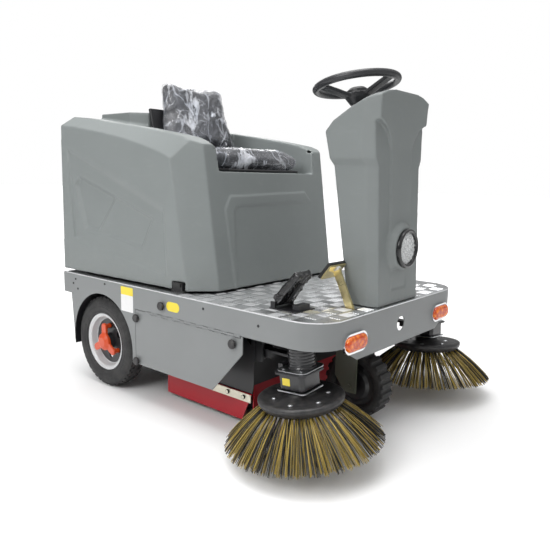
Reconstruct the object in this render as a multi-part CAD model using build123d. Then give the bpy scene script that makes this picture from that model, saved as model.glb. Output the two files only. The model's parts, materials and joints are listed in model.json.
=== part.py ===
from build123d import *
from math import asin, atan2, cos, degrees, pi, radians, sin, sqrt, tan
import os

# Ride-on sweeper, in millimetres.
# +Z is up, the machine drives towards -Y and its right-hand side faces -X.
# The origin is on the floor, below the centre of the whole machine.

# ---- driving sizes: deck and skirt ----
deck_width = 900
deck_front_y = -592
deck_rear_y = 728
deck_top_z = 426
skirt_height = 80
sheet = 3
front_corner_r = 110
rear_corner_r = 20
nose_drop = 50
nose_half_width = 265
nose_slope_width = 87
flange_width = 26
tread_thickness = 4
tow_hole_r = 25

# ---- frame ----
rail_x = 300
rail_width = 40
rail_height = 40
wheel_plate_x = 346
kingpin_r = 16
kingpin_housing_r = 28
fork_leg_x = 50
fork_crown_z = 262

# ---- wheels ----
rear_wheel_y = 454
rear_wheel_r = 178
rear_tyre_width = 80
rear_rim_r = 112
rear_wheel_x = 405
arch_gap = 15
fender_rear_y = 650
fender_bottom_z = 140
front_wheel_y = -440
front_wheel_r = 119
front_tyre_width = 76
hub_motor_r = 78

# ---- side brushes ----
side_brush_x = 408
side_brush_y = -494.5
side_brush_top_z = 204
side_brush_disc_r = 130
side_brush_tip_r = 243
side_brush_tip_z = 58
side_brush_lean_x = 4.6
side_brush_lean_y = 3.9
arm_pivot_x = 330
arm_pivot_y = -285
arm_pivot_z = 262
gearbox_bottom_z = 222
gearbox_top_z = 274
gearbox_half = 46
motor_top_z = 352
motor_r = 40
motor_inset = 18

# ---- main brush and its housing ----
main_brush_y = -40
main_brush_z = 150
main_brush_core_r = 60
main_brush_r = 138
main_brush_length = 650
housing_half_width = 344
housing_front_y = -250
housing_rear_y = 176
housing_top_z = 318
flap_thickness = 4
flap_bottom_z = 20

# ---- hopper ----
hopper_half_width = 322
hopper_front_y = 186
hopper_rear_y = 682
hopper_bottom_z = 92
hopper_top_z = 306
hopper_wall = 4

# ---- side doors ----
door_rear_y = 238
door_front_y = -296
door_top_z = 343.5
door_bottom_z = 141
door_corner_y = -164
door_corner_z = 288
hinge_rear_y = 176
hinge_front_y = -288
hinge_r = 4
hinge_pin_r = 1.5
hinge_knuckles = 16
knob_r = 15
knob_height = 15

# ---- body cover ----
cover_bottom_z = 437
cover_rear_y = 737.5
cover_rear_half = 433
cover_side_half = 411
cover_side_y = 3
cover_nose_half = 329
cover_nose_y = -73
cover_lean = 0.155
cover_wall = 5
cover_ridge_half = 366
cover_top_z = 1100
well_half_width = 280
well_floor_z = 826
well_lip_z = 845
well_rear_y = 462
hump_half_width = 250
hump_front_y = 462
hump_rear_y = 716
hump_top_z = 1072
cover_hinge_x = 300
cover_hinge_y = 728
cover_hinge_z = 441
cover_pin_r = 4
latch_front_y = 14
latch_rear_y = 76
latch_top_z = 466
# along the cover: y, height of the side face, height of the ridge
shoulder_line = [(-95, 880, 890), (3, 852, 936), (71, 868, 961), (124, 894, 971), (202, 920, 984),
                 (327, 952, 1003), (476, 980, 1022), (639, 1004, 1045), (cover_rear_y + 8, 1014, 1054)]

# ---- pockets in the sides of the cover, as (y, z) outlines ----
panel_depth = 10
recess_depth = 8
deep_recess_depth = 15
panel_edge = [(702, 944), (112, 733), (97, 458), (656, 550)]
panel_floor = [(690, 908), (122, 698), (107, 486), (662, 578)]
recess_edge = [(663, 784), (633, 822), (395, 749), (180, 677), (243, 560), (436, 592), (530, 592), (605, 604)]
recess_floor = [(655, 782), (631, 812), (396, 739), (190, 674), (247, 572), (436, 602), (527, 602), (598, 610)]
deep_edge = [(655, 782), (631, 812), (400, 741), (514, 606), (598, 610)]
deep_floor = [(648, 781), (629, 804), (412, 739), (517, 616), (592, 620)]

# ---- seat ----
seat_half_width = 222
seat_front_y = -2
seat_rear_y = 352
seat_bottom_z = 857
seat_top_z = 916
backrest_bottom_half = 200
backrest_top_half = 152
backrest_top_z = 1195
backrest_lean = 14
backrest_thickness = 72
seat_travel = 40

# ---- steering column ----
column_front_y = -578
column_rear_y = -466
column_half_width = 142
column_wall = 4
column_front_lean = 22
column_rear_lean = 72
head_half_width = 168
head_bottom_z = 893
head_rear_y = -372
head_front_y = -571
spine_half = 66
spine_step = 8
dash_profile = [(head_rear_y, 976), (-402, 1009), (-466, 1047), (-530, 1077), (-562, 1100), (head_front_y, 1104)]
head_crown = [(190, 1066), (168, 1074), (150, 1084), (112, 1097), (60, 1105), (0, 1108)]
headlight_front_y = -595
headlight_z = 612
headlight_r = 62
steering_centre_y = -379
steering_centre_z = 1140
steering_tilt = 10
steering_r = 148
steering_rim_r = 12.5
hub_drop = 30
shaft_r = 10
joint_ball_r = 15
upper_joint_z = 752
lower_joint_z = 470
lower_bearing_r = 26
small_sprocket_r = 20
large_sprocket_r = 60
sprocket_distance = 90
sprocket_z = 388
sprocket_thickness = 6

# ---- pedals ----
accelerator_x = -330
accelerator_heel_y = -352
accelerator_length = 128
accelerator_angle = 50
accelerator_width = 78
brake_x = -192
brake_pivot_y = -530
brake_pivot_z = 398
brake_lean = 26

# ---- turn signals ----
signal_x = 285
signal_z = 355
signal_width = 125
signal_height = 62

# ---- fits ----
running_gap = 0.05
touch_gap = 0.4

deck_half = deck_width / 2
skirt_bottom_z = deck_top_z - skirt_height
tread_top_z = deck_top_z + tread_thickness
arch_r = rear_wheel_r + arch_gap
rail_top_z = deck_top_z - sheet
hinge_x = deck_half - 1
knuckle_pitch = (hinge_rear_y - hinge_front_y) / hinge_knuckles
tilt = radians(steering_tilt)
upper_joint_y = steering_centre_y - (steering_centre_z - upper_joint_z) * tan(tilt)
lower_joint_y = front_wheel_y - sprocket_distance
middle_angle = degrees(atan2(upper_joint_y - lower_joint_y, upper_joint_z - lower_joint_z))
middle_length = sqrt((upper_joint_y - lower_joint_y) ** 2 + (upper_joint_z - lower_joint_z) ** 2)
side_face_lean = degrees(atan2(12, 600))
side_face = Plane(origin=(424, 350, 700), x_dir=(sin(radians(side_face_lean)), cos(radians(side_face_lean)), 0),
                  z_dir=(cos(radians(side_face_lean)), -sin(radians(side_face_lean)), 0))


# ---- small helpers ----
def box(x0, x1, y0, y1, z0, z1):
    return Pos((x0 + x1) / 2, (y0 + y1) / 2, (z0 + z1) / 2) * Box(x1 - x0, y1 - y0, z1 - z0)


def rod_x(r, x0, x1, y, z):
    return Pos((x0 + x1) / 2, y, z) * Rot(0, 90, 0) * Cylinder(r, x1 - x0)


def rod_y(r, y0, y1, x, z):
    return Pos(x, (y0 + y1) / 2, z) * Rot(90, 0, 0) * Cylinder(r, y1 - y0)


def rod_z(r, z0, z1, x, y):
    return Pos(x, y, (z0 + z1) / 2) * Cylinder(r, z1 - z0)


def polygon(points):
    return make_face(Polyline(*points, close=True).edges())


def prism_x(points, x0, x1):
    """A prism along X from an outline of (y, z) points."""
    return extrude(Plane.YZ.offset(x0) * polygon(points), amount=x1 - x0, dir=(1, 0, 0))


def prism_y(points, y0, y1):
    """A prism along Y from an outline of (x, z) points."""
    return extrude(Plane.XZ.offset(-y0) * polygon(points), amount=y1 - y0, dir=(0, 1, 0))


def prism_z(points, z0, z1):
    """A prism along Z from an outline of (x, y) points."""
    return extrude(Plane.XY.offset(z0) * polygon(points), amount=z1 - z0, dir=(0, 0, 1))


def ruled(outlines, plane_of):
    """A straight-sided loft through outlines, each an (offset, points) pair."""
    return loft([plane_of(offset) * polygon(points) for offset, points in outlines], ruled=True)


def level(z):
    return Plane.XY.offset(z)


def station(y):
    return Plane.XZ.offset(-y)


def side_plane(x):
    return Plane.YZ.offset(x)


def slot_y(width, height, y0, y1, x, z):
    """An obround prism along Y, long in X."""
    return Pos(x, (y0 + y1) / 2, z) * Rot(90, 0, 0) * extrude(SlotOverall(width, height), amount=(y1 - y0) / 2, both=True)


def left_copy(shape):
    return mirror(shape, about=Plane.YZ)


def pair(shape):
    return [shape, left_copy(shape)]


def spun(profile):
    """A solid of revolution about Z from (radius, z) points."""
    return revolve(Plane.XZ * polygon(profile), axis=Axis.Z)


def save(name, *solids):
    flat = []
    for solid in solids:
        flat.extend(solid if isinstance(solid, list) else [solid])
    pieces = [piece for shape in flat for piece in shape.solids()]
    export_step(Compound(children=pieces), f"parts/{name}.step")
    print(name, len(pieces))


# ---- chassis ----
def deck_outline(inset):
    """The deck in plan, with large front corners and small rear ones."""
    half = deck_half - inset
    front = deck_front_y + inset
    rear = deck_rear_y - inset
    plan = Pos(0, (front + rear) / 2) * Rectangle(2 * half, rear - front)
    front_corners = plan.vertices().sort_by(Axis.Y)[:2]
    plan = fillet(front_corners, front_corner_r - inset)
    rear_corners = plan.vertices().sort_by(Axis.Y)[-2:]
    return fillet(rear_corners, max(rear_corner_r - inset, 2))


def chassis_frame():
    rail_rear_y = deck_rear_y - 60
    rail_front_y = deck_front_y + 5
    low = rail_top_z - rail_height
    rails = pair(box(-rail_x - rail_width / 2, -rail_x + rail_width / 2, rail_front_y, rail_rear_y, low, rail_top_z))
    crossings = [front_wheel_y + 75, housing_front_y - 10, housing_rear_y - 20, rail_rear_y - 40]
    beams = [box(-rail_x, rail_x, y, y + 40, low, rail_top_z) for y in crossings]
    beams.append(box(-rail_x, rail_x, rail_front_y, rail_front_y + 20, low, rail_top_z))
    outriggers = [box(-deck_half + sheet, deck_half - sheet, y, y + 30, low + 10, rail_top_z) for y in (-330, 10, 205)]
    head_block = rod_z(kingpin_housing_r, 286, 372, 0, front_wheel_y)
    head_plate = box(-34, 34, front_wheel_y, front_wheel_y + 80, 286, 372)
    head_post = box(-34, 34, front_wheel_y + 72, front_wheel_y + 110, 286, rail_top_z)
    frame = rails[0] + rails[1]
    for piece in beams + outriggers + [head_block, head_plate, head_post, brake_bracket()]:
        frame += piece
    for side in (-1, 1):
        plate_outline = [
            (205, rail_top_z), (205, 330), (300, 130), (590, 130), (rail_rear_y, 330), (rail_rear_y, rail_top_z)]
        x0 = side * wheel_plate_x - 3
        frame += prism_x(plate_outline, x0, x0 + 6)
        stub_end = rear_wheel_x + 26
        stub = rod_x(12, min(side * wheel_plate_x, side * stub_end), max(side * wheel_plate_x, side * stub_end),
                     rear_wheel_y, rear_wheel_r)
        frame += stub
        bracket = box(side * 330 - 32, side * 330 + 32, arm_pivot_y + 14, arm_pivot_y + 32, arm_pivot_z - 22, low + 5)
        frame += bracket
        for ear in (-30, 22):
            ear_x = side * 330 + ear
            frame += box(ear_x, ear_x + 8, arm_pivot_y - 14, arm_pivot_y + 30, arm_pivot_z - 18, low + 5)
        frame += rod_x(6, side * 330 - 30, side * 330 + 30, arm_pivot_y, arm_pivot_z)
    frame -= rod_z(kingpin_r + running_gap, 280, 380, 0, front_wheel_y)
    return [frame] + hopper_rails() + cover_hinges()


def deck_skirt():
    wall = extrude(level(fender_bottom_z) * deck_outline(0), amount=deck_top_z - fender_bottom_z)
    wall -= extrude(level(fender_bottom_z - 1) * deck_outline(sheet), amount=deck_top_z - fender_bottom_z + 2)
    band = wall & box(-deck_half - 1, deck_half + 1, deck_front_y - 1, deck_rear_y + 1, skirt_bottom_z, deck_top_z)
    nose_bottom = skirt_bottom_z - nose_drop
    slope = nose_half_width + nose_slope_width
    nose_outline = [(-slope, skirt_bottom_z + 1), (-nose_half_width, nose_bottom),
                    (nose_half_width, nose_bottom), (slope, skirt_bottom_z + 1)]
    nose = wall & prism_y(nose_outline, deck_front_y - 1, deck_front_y + 20)
    fender_outline = [(door_rear_y + 1, skirt_bottom_z + 1), (door_rear_y + 1, fender_bottom_z),
                      (fender_rear_y - 8, fender_bottom_z), (fender_rear_y + 10, skirt_bottom_z + 1)]
    fender = wall & prism_x(fender_outline, -deck_half - 1, deck_half + 1)
    flange = extrude(level(deck_top_z - sheet) * deck_outline(sheet), amount=sheet)
    flange -= extrude(level(deck_top_z - sheet - 1) * deck_outline(flange_width), amount=sheet + 2)
    skirt = band + nose + fender + flange
    for side in (-1, 1):
        x0 = side * deck_half - 8
        skirt -= rod_x(arch_r, x0, x0 + 16, rear_wheel_y - 3, rear_wheel_r)
        skirt -= box(x0, x0 + 16, rear_wheel_y - 3 - arch_r, rear_wheel_y - 3 + arch_r, 100, rear_wheel_r)
        skirt = hinge_half(skirt, side, False)
    skirt -= rod_y(tow_hole_r, deck_front_y - 5, deck_front_y + 8, 0, skirt_bottom_z + 16)
    return skirt


def hinge_half(panel, side, moving):
    """Piano hinge: odd knuckles belong to the door, even ones and the pin to the skirt."""
    x0 = side * deck_half if side < 0 else side * deck_half - sheet
    clear = hinge_r + 1.5
    panel -= box(x0 - 8, x0 + 11, hinge_front_y - 1, hinge_rear_y + 1, door_top_z - clear, door_top_z + clear)
    for i in range(hinge_knuckles):
        if (i % 2 == 1) != moving:
            continue
        y0 = hinge_front_y + i * knuckle_pitch + 0.5
        y1 = y0 + knuckle_pitch - 1
        z0, z1 = (door_top_z - clear - 0.5, door_top_z) if moving else (door_top_z, door_top_z + clear + 0.5)
        panel += box(x0, x0 + sheet, y0, y1, z0, z1)
        panel += rod_y(hinge_r, y0, y1, side * hinge_x, door_top_z)
    bore = hinge_pin_r + running_gap if moving else hinge_pin_r
    core = rod_y(bore, hinge_front_y, hinge_rear_y, side * hinge_x, door_top_z)
    return panel - core if moving else panel + core


def side_door(side):
    outline = [(door_rear_y - 1, skirt_bottom_z - 2), (door_rear_y - 1, door_bottom_z), (door_corner_y, door_bottom_z),
               (door_front_y, door_corner_z), (door_front_y, skirt_bottom_z - 2)]
    x0 = -deck_half if side < 0 else deck_half - sheet
    return hinge_half(prism_x(outline, x0, x0 + sheet), side, True)


def star_knob(side, y, z):
    """A round grip with eight flutes on a short stud."""
    knob = spun([(0, 0), (5, 0), (5, 4), (knob_r - 2, 4), (knob_r, 6), (knob_r, knob_height - 3),
                 (knob_r - 4, knob_height), (0, knob_height)])
    for i in range(8):
        knob -= Rot(0, 0, i * 45) * Pos(knob_r + 1.6, 0, knob_height / 2 + 2) * Cylinder(3, knob_height)
    turn = Rot(0, 90 * side, 0)
    return Pos(side * deck_half, y, z) * turn * knob


def tread_plate():
    """The chequered deck sheet; under the cover it carries the batteries and has the dust opening."""
    plate = extrude(level(deck_top_z) * deck_outline(1), amount=tread_thickness)
    plate -= box(-deck_half, deck_half, deck_rear_y - 30, deck_rear_y + 1, deck_top_z - 1, tread_top_z + 1)
    plate -= box(-260, 260, 400, 640, deck_top_z - 1, tread_top_z + 1)
    plate -= box(brake_x - 10, brake_x + 10, -572, -476, deck_top_z - 1, tread_top_z + 1)
    plate -= rod_z(lower_bearing_r, deck_top_z - 1, tread_top_z + 1, 0, lower_joint_y)
    return plate


# ---- main brush housing, flaps and brush ----
def brush_housing():
    outline_out = [(housing_front_y, 150), (housing_front_y, 270), (housing_front_y + 50, housing_top_z),
                   (housing_rear_y, housing_top_z), (housing_rear_y, 150)]
    outline_in = [(housing_front_y + sheet, 149), (housing_front_y + sheet, 269),
                  (housing_front_y + 51, housing_top_z - sheet), (housing_rear_y - sheet, housing_top_z - sheet),
                  (housing_rear_y - sheet, 149)]
    half = housing_half_width
    shell = prism_x(outline_out, -half, half)
    shell -= prism_x(outline_in, -half + sheet, half - sheet)
    shell -= box(-half + 30, half - 30, housing_rear_y - 8, housing_rear_y + 1, 149, 272)
    for side in (-1, 1):
        x0 = side * half if side < 0 else half - sheet
        cheek = [(housing_front_y, 151), (housing_front_y + 12, 84), (housing_rear_y, 84), (housing_rear_y, 151)]
        shell += prism_x(cheek, x0, x0 + sheet)
        bush = rod_x(24, side * (half - 9) - 6, side * (half - 9) + 6, main_brush_y, main_brush_z)
        shell += bush
    shell -= rod_x(10 + running_gap, -half - 5, half + 5, main_brush_y, main_brush_z)
    mount = box(-rail_x - 20, rail_x + 20, -10, 30, housing_top_z - 1, rail_top_z - rail_height)
    return shell + (mount - box(-rail_x + 20, rail_x - 20, -11, 31, housing_top_z, 400))


def side_flap(side):
    x0 = side * (housing_half_width + touch_gap) + (-flap_thickness if side < 0 else 0)
    outline = [(housing_front_y + 4, 118), (housing_front_y + 48, flap_bottom_z),
               (housing_rear_y + 4, flap_bottom_z), (housing_rear_y + 4, 118)]
    return prism_x(outline, x0, x0 + flap_thickness)


def flap_clamp(side):
    outer = side * (housing_half_width + touch_gap + flap_thickness)
    x0 = outer - 3 if side < 0 else outer
    bar = box(x0, x0 + 3, housing_front_y + 6, housing_rear_y, 88, 116)
    bolts = []
    for i in range(6):
        y = housing_front_y + 38 + i * 74
        bolts.append(rod_x(6, min(outer + side * 3, outer + side * 8), max(outer + side * 3, outer + side * 8), y, 103))
    return [bar] + bolts


def cross_flaps():
    front = box(-housing_half_width + 6, housing_half_width - 6, housing_front_y + sheet + touch_gap,
                housing_front_y + sheet + touch_gap + flap_thickness, 24, 200)
    rear = box(-housing_half_width + 6, housing_half_width - 6, housing_rear_y - sheet - touch_gap - flap_thickness,
               housing_rear_y - sheet - touch_gap, 14, 148)
    return [front, rear]


def main_brush_core():
    half = main_brush_length / 2
    return (rod_x(main_brush_core_r, -half, half, main_brush_y, main_brush_z)
            + rod_x(10, -housing_half_width - 4, housing_half_width + 4, main_brush_y, main_brush_z))


def main_brush_bristles():
    """Six bristle rows around the core, each a radial blade."""
    half = main_brush_length / 2 - 6
    row = box(-half, half, -9, 9, main_brush_core_r + touch_gap, main_brush_r)
    place = Pos(0, main_brush_y, main_brush_z)
    return [place * Rot(i * 60, 0, 0) * row for i in range(6)]


def main_brush_motor():
    """Flanged gear motor on the left cheek of the housing, in line with the brush."""
    x0 = housing_half_width + touch_gap
    flange = box(x0, x0 + 8, main_brush_y - 50, main_brush_y + 50, 119, 200)
    motor = flange + rod_x(30, x0 + 7, x0 + 84, main_brush_y, main_brush_z)
    return motor - rod_x(10 + running_gap, x0 - 1, x0 + 6, main_brush_y, main_brush_z)


# ---- hopper ----
def hopper():
    w = hopper_wall
    half = hopper_half_width
    tub = box(-half, half, hopper_front_y, hopper_rear_y, hopper_bottom_z, hopper_top_z)
    tub -= box(-half + w, half - w, hopper_front_y + w, hopper_rear_y - w, hopper_bottom_z + w, hopper_top_z + 1)
    tub -= box(-half + 30, half - 30, hopper_front_y - 1, hopper_front_y + w + 1, 150, hopper_top_z + 1)
    for side in (-1, 1):
        x0 = side * half if side < 0 else half
        tub += box(min(x0, x0 + side * 10), max(x0, x0 + side * 10), hopper_front_y, hopper_rear_y, 262, 270)
    return tub


def hopper_handle():
    reach = hopper_rear_y + 42
    handle = rod_x(9, -110, 110, reach, 230)
    for x in (-95, 95):
        handle += rod_y(7, hopper_rear_y, reach, x, 230)
    return handle


def hopper_rails():
    rails = []
    for side in (-1, 1):
        outer = wheel_plate_x - 3 - touch_gap
        x0, x1 = (-outer, -outer + 18) if side < 0 else (outer - 18, outer)
        channel = box(x0, x1, hopper_front_y + 6, hopper_rear_y - 60, 252, 280)
        inner0, inner1 = (x0 + 4, x1 + 1) if side < 0 else (x0 - 1, x1 - 4)
        rails.append(channel - box(inner0, inner1, hopper_front_y, hopper_rear_y, 261, 271))
    return rails


# ---- wheels ----
def rear_tyre():
    half = rear_tyre_width / 2
    tyre = spun([(rear_rim_r, -half + 12), (rear_rim_r + 14, -half), (rear_wheel_r - 24, -half),
                 (rear_wheel_r - 5, -half + 10), (rear_wheel_r, -half + 24), (rear_wheel_r, half - 24),
                 (rear_wheel_r - 5, half - 10), (rear_wheel_r - 24, half), (rear_rim_r + 14, half),
                 (rear_rim_r, half - 12)])
    for z in (-9, 9):
        tyre -= spun([(rear_wheel_r - 5, z - 2), (rear_wheel_r + 1, z - 2), (rear_wheel_r + 1, z + 2),
                      (rear_wheel_r - 5, z + 2)])
    return tyre


def rear_rim():
    """A pressed disc between two flared edges, with six round holes."""
    rim = spun([(12 + running_gap, -26), (30, -26), (30, -3), (86, -3), (98, -26), (rear_rim_r - touch_gap, -26),
                (rear_rim_r - touch_gap, 26), (98, 26), (92, 4), (30, 4), (30, 26), (12 + running_gap, 26)])
    for i in range(6):
        rim -= Rot(0, 0, i * 60) * Pos(60, 0, 0) * Cylinder(12, 20)
    return rim


def hub_spider():
    """The three-armed hub casting that bolts on the outside of the wheel disc."""
    body = spun([(0, 27), (34, 27), (34, 38), (20, 48), (0, 48)])
    for i in range(3):
        arm = box(-14, 14, 0, 60, 27, 37) + Pos(0, 60, 32) * Cylinder(14, 10)
        body += Rot(0, 0, i * 120 + 30) * arm
    legs = [Rot(0, 0, i * 120 + 30) * Pos(0, 60, 15.7) * Cylinder(9, 22.6) for i in range(3)]
    for leg in legs:
        body += leg
    return body


def wheel_place(side):
    return Pos(side * rear_wheel_x, rear_wheel_y, rear_wheel_r) * Rot(0, 90 * side, 0)


def front_tyre():
    half = front_tyre_width / 2
    tyre = spun([(hub_motor_r + touch_gap, -half + 8), (hub_motor_r + 12, -half), (front_wheel_r - 16, -half),
                 (front_wheel_r - 7, -half + 5), (front_wheel_r - 7, half - 5), (front_wheel_r - 16, half),
                 (hub_motor_r + 12, half), (hub_motor_r + touch_gap, half - 8)])
    lug = box(front_wheel_r - 9, front_wheel_r, -9, 9, -half + 3, half - 3)
    for i in range(22):
        tyre += Rot(0, 0, i * 360 / 22) * lug
    return Pos(0, front_wheel_y, front_wheel_r) * Rot(0, 90, 0) * tyre


def front_hub_motor():
    motor = spun([(0, -34), (50, -34), (60, -26), (hub_motor_r, -22), (hub_motor_r, 22), (60, 26), (50, 34), (0, 34)])
    return Pos(0, front_wheel_y, front_wheel_r) * Rot(0, 90, 0) * (motor - Cylinder(8 + running_gap, 80))


# ---- front fork and steering ----
def steering_fork():
    leg = [(front_wheel_y - 24, fork_crown_z), (front_wheel_y - 24, front_wheel_r - 22),
           (front_wheel_y + 22, front_wheel_r - 22), (front_wheel_y + 62, front_wheel_r + 30),
           (front_wheel_y + 62, fork_crown_z)]
    fork = box(-fork_leg_x - 8, fork_leg_x + 8, front_wheel_y - 24, front_wheel_y + 62, fork_crown_z - 1, fork_crown_z + 12)
    for side in (-1, 1):
        x0 = side * fork_leg_x + (-8 if side < 0 else 0)
        fork += prism_x(leg, x0, x0 + 8)
    fork += rod_z(kingpin_r, fork_crown_z + 11, 400, 0, front_wheel_y)
    fork += rod_z(30, fork_crown_z + 11, 284, 0, front_wheel_y)
    fork += rod_x(8, -fork_leg_x - 14, fork_leg_x + 14, front_wheel_y, front_wheel_r)
    return fork


def fork_sprocket():
    z0 = sprocket_z - sprocket_thickness / 2
    disc = rod_z(large_sprocket_r, z0, z0 + sprocket_thickness, 0, front_wheel_y)
    return disc - rod_z(kingpin_r + touch_gap, z0 - 1, z0 + sprocket_thickness + 1, 0, front_wheel_y)


def chain_outline(offset):
    """The belt line around both sprockets, offset outwards."""
    r1 = small_sprocket_r + offset
    r2 = large_sprocket_r + offset
    lean = asin((r2 - r1) / sprocket_distance)
    y1 = front_wheel_y - sprocket_distance
    y2 = front_wheel_y
    points = []
    steps = 24
    for i in range(steps + 1):
        a = -pi / 2 - (pi / 2 - lean) + i * (pi - 2 * lean) / steps
        points.append((r1 * cos(a), y1 + r1 * sin(a)))
    for i in range(steps + 1):
        a = -lean + i * (pi + 2 * lean) / steps
        points.append((r2 * cos(a), y2 + r2 * sin(a)))
    return points


def steering_chain():
    z0 = sprocket_z - 4
    return prism_z(chain_outline(7), z0, z0 + 8) - prism_z(chain_outline(0.6), z0 - 1, z0 + 9)


def tilted(y, z, angle):
    """A frame at (0, y, z) whose Z axis leans forward at the bottom by the angle."""
    return Pos(0, y, z) * Rot(-angle, 0, 0)


def steering_wheel():
    place = tilted(steering_centre_y, steering_centre_z, steering_tilt)
    rim = Torus(steering_r - steering_rim_r, steering_rim_r)
    top = -hub_drop
    hub = spun([(shaft_r + touch_gap, top - 38), (26, top - 38), (40, top - 16), (43, top), (shaft_r + touch_gap, top)])
    wheel = rim + hub
    reach = steering_r - steering_rim_r
    spoke = prism_x([(32, top - 16), (32, top - 2), (reach, 5), (reach, -7)], -19, 19)
    for angle in (0, 120, 240):
        wheel += Rot(0, 0, angle + 60) * spoke
    wheel -= Cylinder(shaft_r + touch_gap, 200)
    return place * wheel


def wheel_cap():
    cap = spun([(0, 0), (38, 0), (36, 10), (26, 18), (0, 22)])
    return tilted(steering_centre_y, steering_centre_z, steering_tilt) * Pos(0, 0, -hub_drop) * cap


def steering_upper_shaft():
    length = (steering_centre_z - upper_joint_z) / cos(tilt)
    top = -hub_drop - 1
    shaft = Pos(0, 0, (top + 8 - length) / 2) * Cylinder(shaft_r, top + length - 8)
    return tilted(steering_centre_y, steering_centre_z, steering_tilt) * shaft


def steering_middle_shaft():
    cup = spun([(0, -30), (12, -30), (20, -20), (20, 6), (joint_ball_r + 1, 6), (joint_ball_r + 1, -16), (0, -16)])
    ball = Pos(0, 0, -middle_length) * Sphere(joint_ball_r)
    rod = Pos(0, 0, -(middle_length + 16) / 2) * Cylinder(shaft_r, middle_length - 30)
    return tilted(upper_joint_y, upper_joint_z, middle_angle) * (cup + rod + ball)


def upper_ball():
    return Pos(0, upper_joint_y, upper_joint_z) * Sphere(joint_ball_r)


def steering_lower_shaft():
    y = lower_joint_y
    z0 = sprocket_z - sprocket_thickness / 2
    cup = Pos(0, y, lower_joint_z) * spun(
        [(0, -26), (22, -26), (22, 3), (joint_ball_r + 1, 3), (joint_ball_r + 1, -16), (0, -16)])
    shaft = rod_z(shaft_r, z0 - 10, lower_joint_z - 25, 0, y)
    return cup + shaft + rod_z(small_sprocket_r, z0, z0 + sprocket_thickness, 0, y)


# ---- steering column ----
def column_section(z, inset):
    """The column in plan at a height: it leans back and grows deeper upwards."""
    rise = (z - tread_top_z) / (head_bottom_z - tread_top_z)
    front = column_front_y + column_front_lean * rise + inset
    rear = column_rear_y + column_rear_lean * rise - inset
    half = column_half_width + 5 * rise - inset
    return [(-half + 8, rear), (-half, rear - 7), (-half, front + 35), (-half + 14, front),
            (half - 14, front), (half, front + 35), (half, rear - 7), (half - 8, rear)]


def head_section(z, inset):
    rise = (z - head_bottom_z) / (1100 - head_bottom_z)
    rear = head_rear_y - 18 + 44 * rise - inset
    front = head_front_y + 10 - 10 * rise + inset
    half = head_half_width - 6 + 8 * rise - inset
    return [(-half + 6, rear), (-half, rear - 5), (-half, front + 52), (-half + 16, front),
            (half - 16, front), (half, front + 52), (half, rear - 5), (half - 6, rear)]


def column_solid(inset):
    lower = ruled([(tread_top_z, column_section(tread_top_z, inset)),
                   (head_bottom_z - 22, column_section(head_bottom_z - 22, inset))], level)
    neck = ruled([(head_bottom_z - 22, column_section(head_bottom_z - 22, inset)),
                  (head_bottom_z, head_section(head_bottom_z, inset))], level)
    head = ruled([(head_bottom_z, head_section(head_bottom_z, inset)), (1110, head_section(1110, inset))], level)
    drop = inset * 1.15
    cap = [(y, z - drop) for y, z in dash_profile]
    side_outline = [(head_front_y - 20, 400), (-330, 400), (-330, cap[0][1])] + cap + [(head_front_y - 20, cap[-1][1])]
    crown = [(-x, z - inset) for x, z in head_crown] + [(x, z - inset) for x, z in head_crown[-2::-1]]
    crown = [(-190, 400)] + crown + [(190, 400)]
    return (lower + neck + head) & prism_x(side_outline, -200, 200) & prism_y(crown, -700, -300)


def front_line(z):
    """The column's front face leans back; it carries on behind the head."""
    return column_front_y + column_front_lean * (z - tread_top_z) / (head_bottom_z - tread_top_z)


def ahead_of_front(step, low, high):
    """Everything in front of the front face, stepped forward by an amount."""
    return prism_x([(head_front_y - 60, low), (front_line(low) - step, low), (front_line(high) - step, high),
                    (head_front_y - 60, high)], -300, 300)


def column_shell():
    shell = column_solid(0)
    recess_top = 1008
    for side in (-1, 1):
        strip = [(side * spine_half, 600), (side * spine_half, 925), (side * 78, 958), (side * 105, 990),
                 (side * 145, recess_top), (side * 200, recess_top), (side * 200, 600)]
        shell -= prism_y(strip, head_front_y - 50, column_front_y + 60) & ahead_of_front(0, 600, recess_top)
    spine = prism_y([(-spine_half, 600), (-spine_half, 930), (spine_half, 930), (spine_half, 600)],
                    column_front_y - 30, column_front_y + 20)
    spine -= ahead_of_front(spine_step, 500, 1000)
    boss_height = column_front_y + 8 - headlight_front_y
    boss = Pos(0, column_front_y + 8, headlight_z) * Rot(90, 0, 0) * Cone(86, headlight_r + 5, boss_height, align=(
        Align.CENTER, Align.CENTER, Align.MIN))
    shell += boss + spine
    hollow = column_solid(column_wall) - ahead_of_front(-column_wall, 400, 1200)
    hollow += prism_z(column_section(tread_top_z, column_wall), tread_top_z - 1, tread_top_z + 2)
    shell -= hollow
    shell -= box(-50, 50, column_front_y - 5, front_line(510) + 1, 476, 546)
    shell -= rod_y(headlight_r - 4 + touch_gap, head_front_y - 40, column_front_y + 40, 0, headlight_z)
    shell -= tilted(steering_centre_y, steering_centre_z, steering_tilt) * Pos(0, 0, -140) * Cylinder(30, 130)
    return shell


def column_mast():
    """The steel tube that carries the steering bearing, on two uprights, and the lower bearing."""
    place = tilted(steering_centre_y, steering_centre_z, steering_tilt)
    mast = place * Pos(0, 0, -260) * Cylinder(18, 140)
    for x in (-40, 34):
        mast += box(x, x + 6, -505, -475, tread_top_z, 908)
    mast += box(-40, 40, -505, -420, 822, 830) + box(-40, 40, -505, -414, 900, 908)
    mast += box(-60, 60, -500, -472, tread_top_z, tread_top_z + 6)
    mast -= place * Cylinder(shaft_r + running_gap, 900)
    bearing = rod_z(lower_bearing_r - touch_gap, deck_top_z - 2, tread_top_z + 4, 0, lower_joint_y)
    bearing -= rod_z(shaft_r + running_gap, deck_top_z - 3, tread_top_z + 5, 0, lower_joint_y)
    return [mast, bearing]


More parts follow.
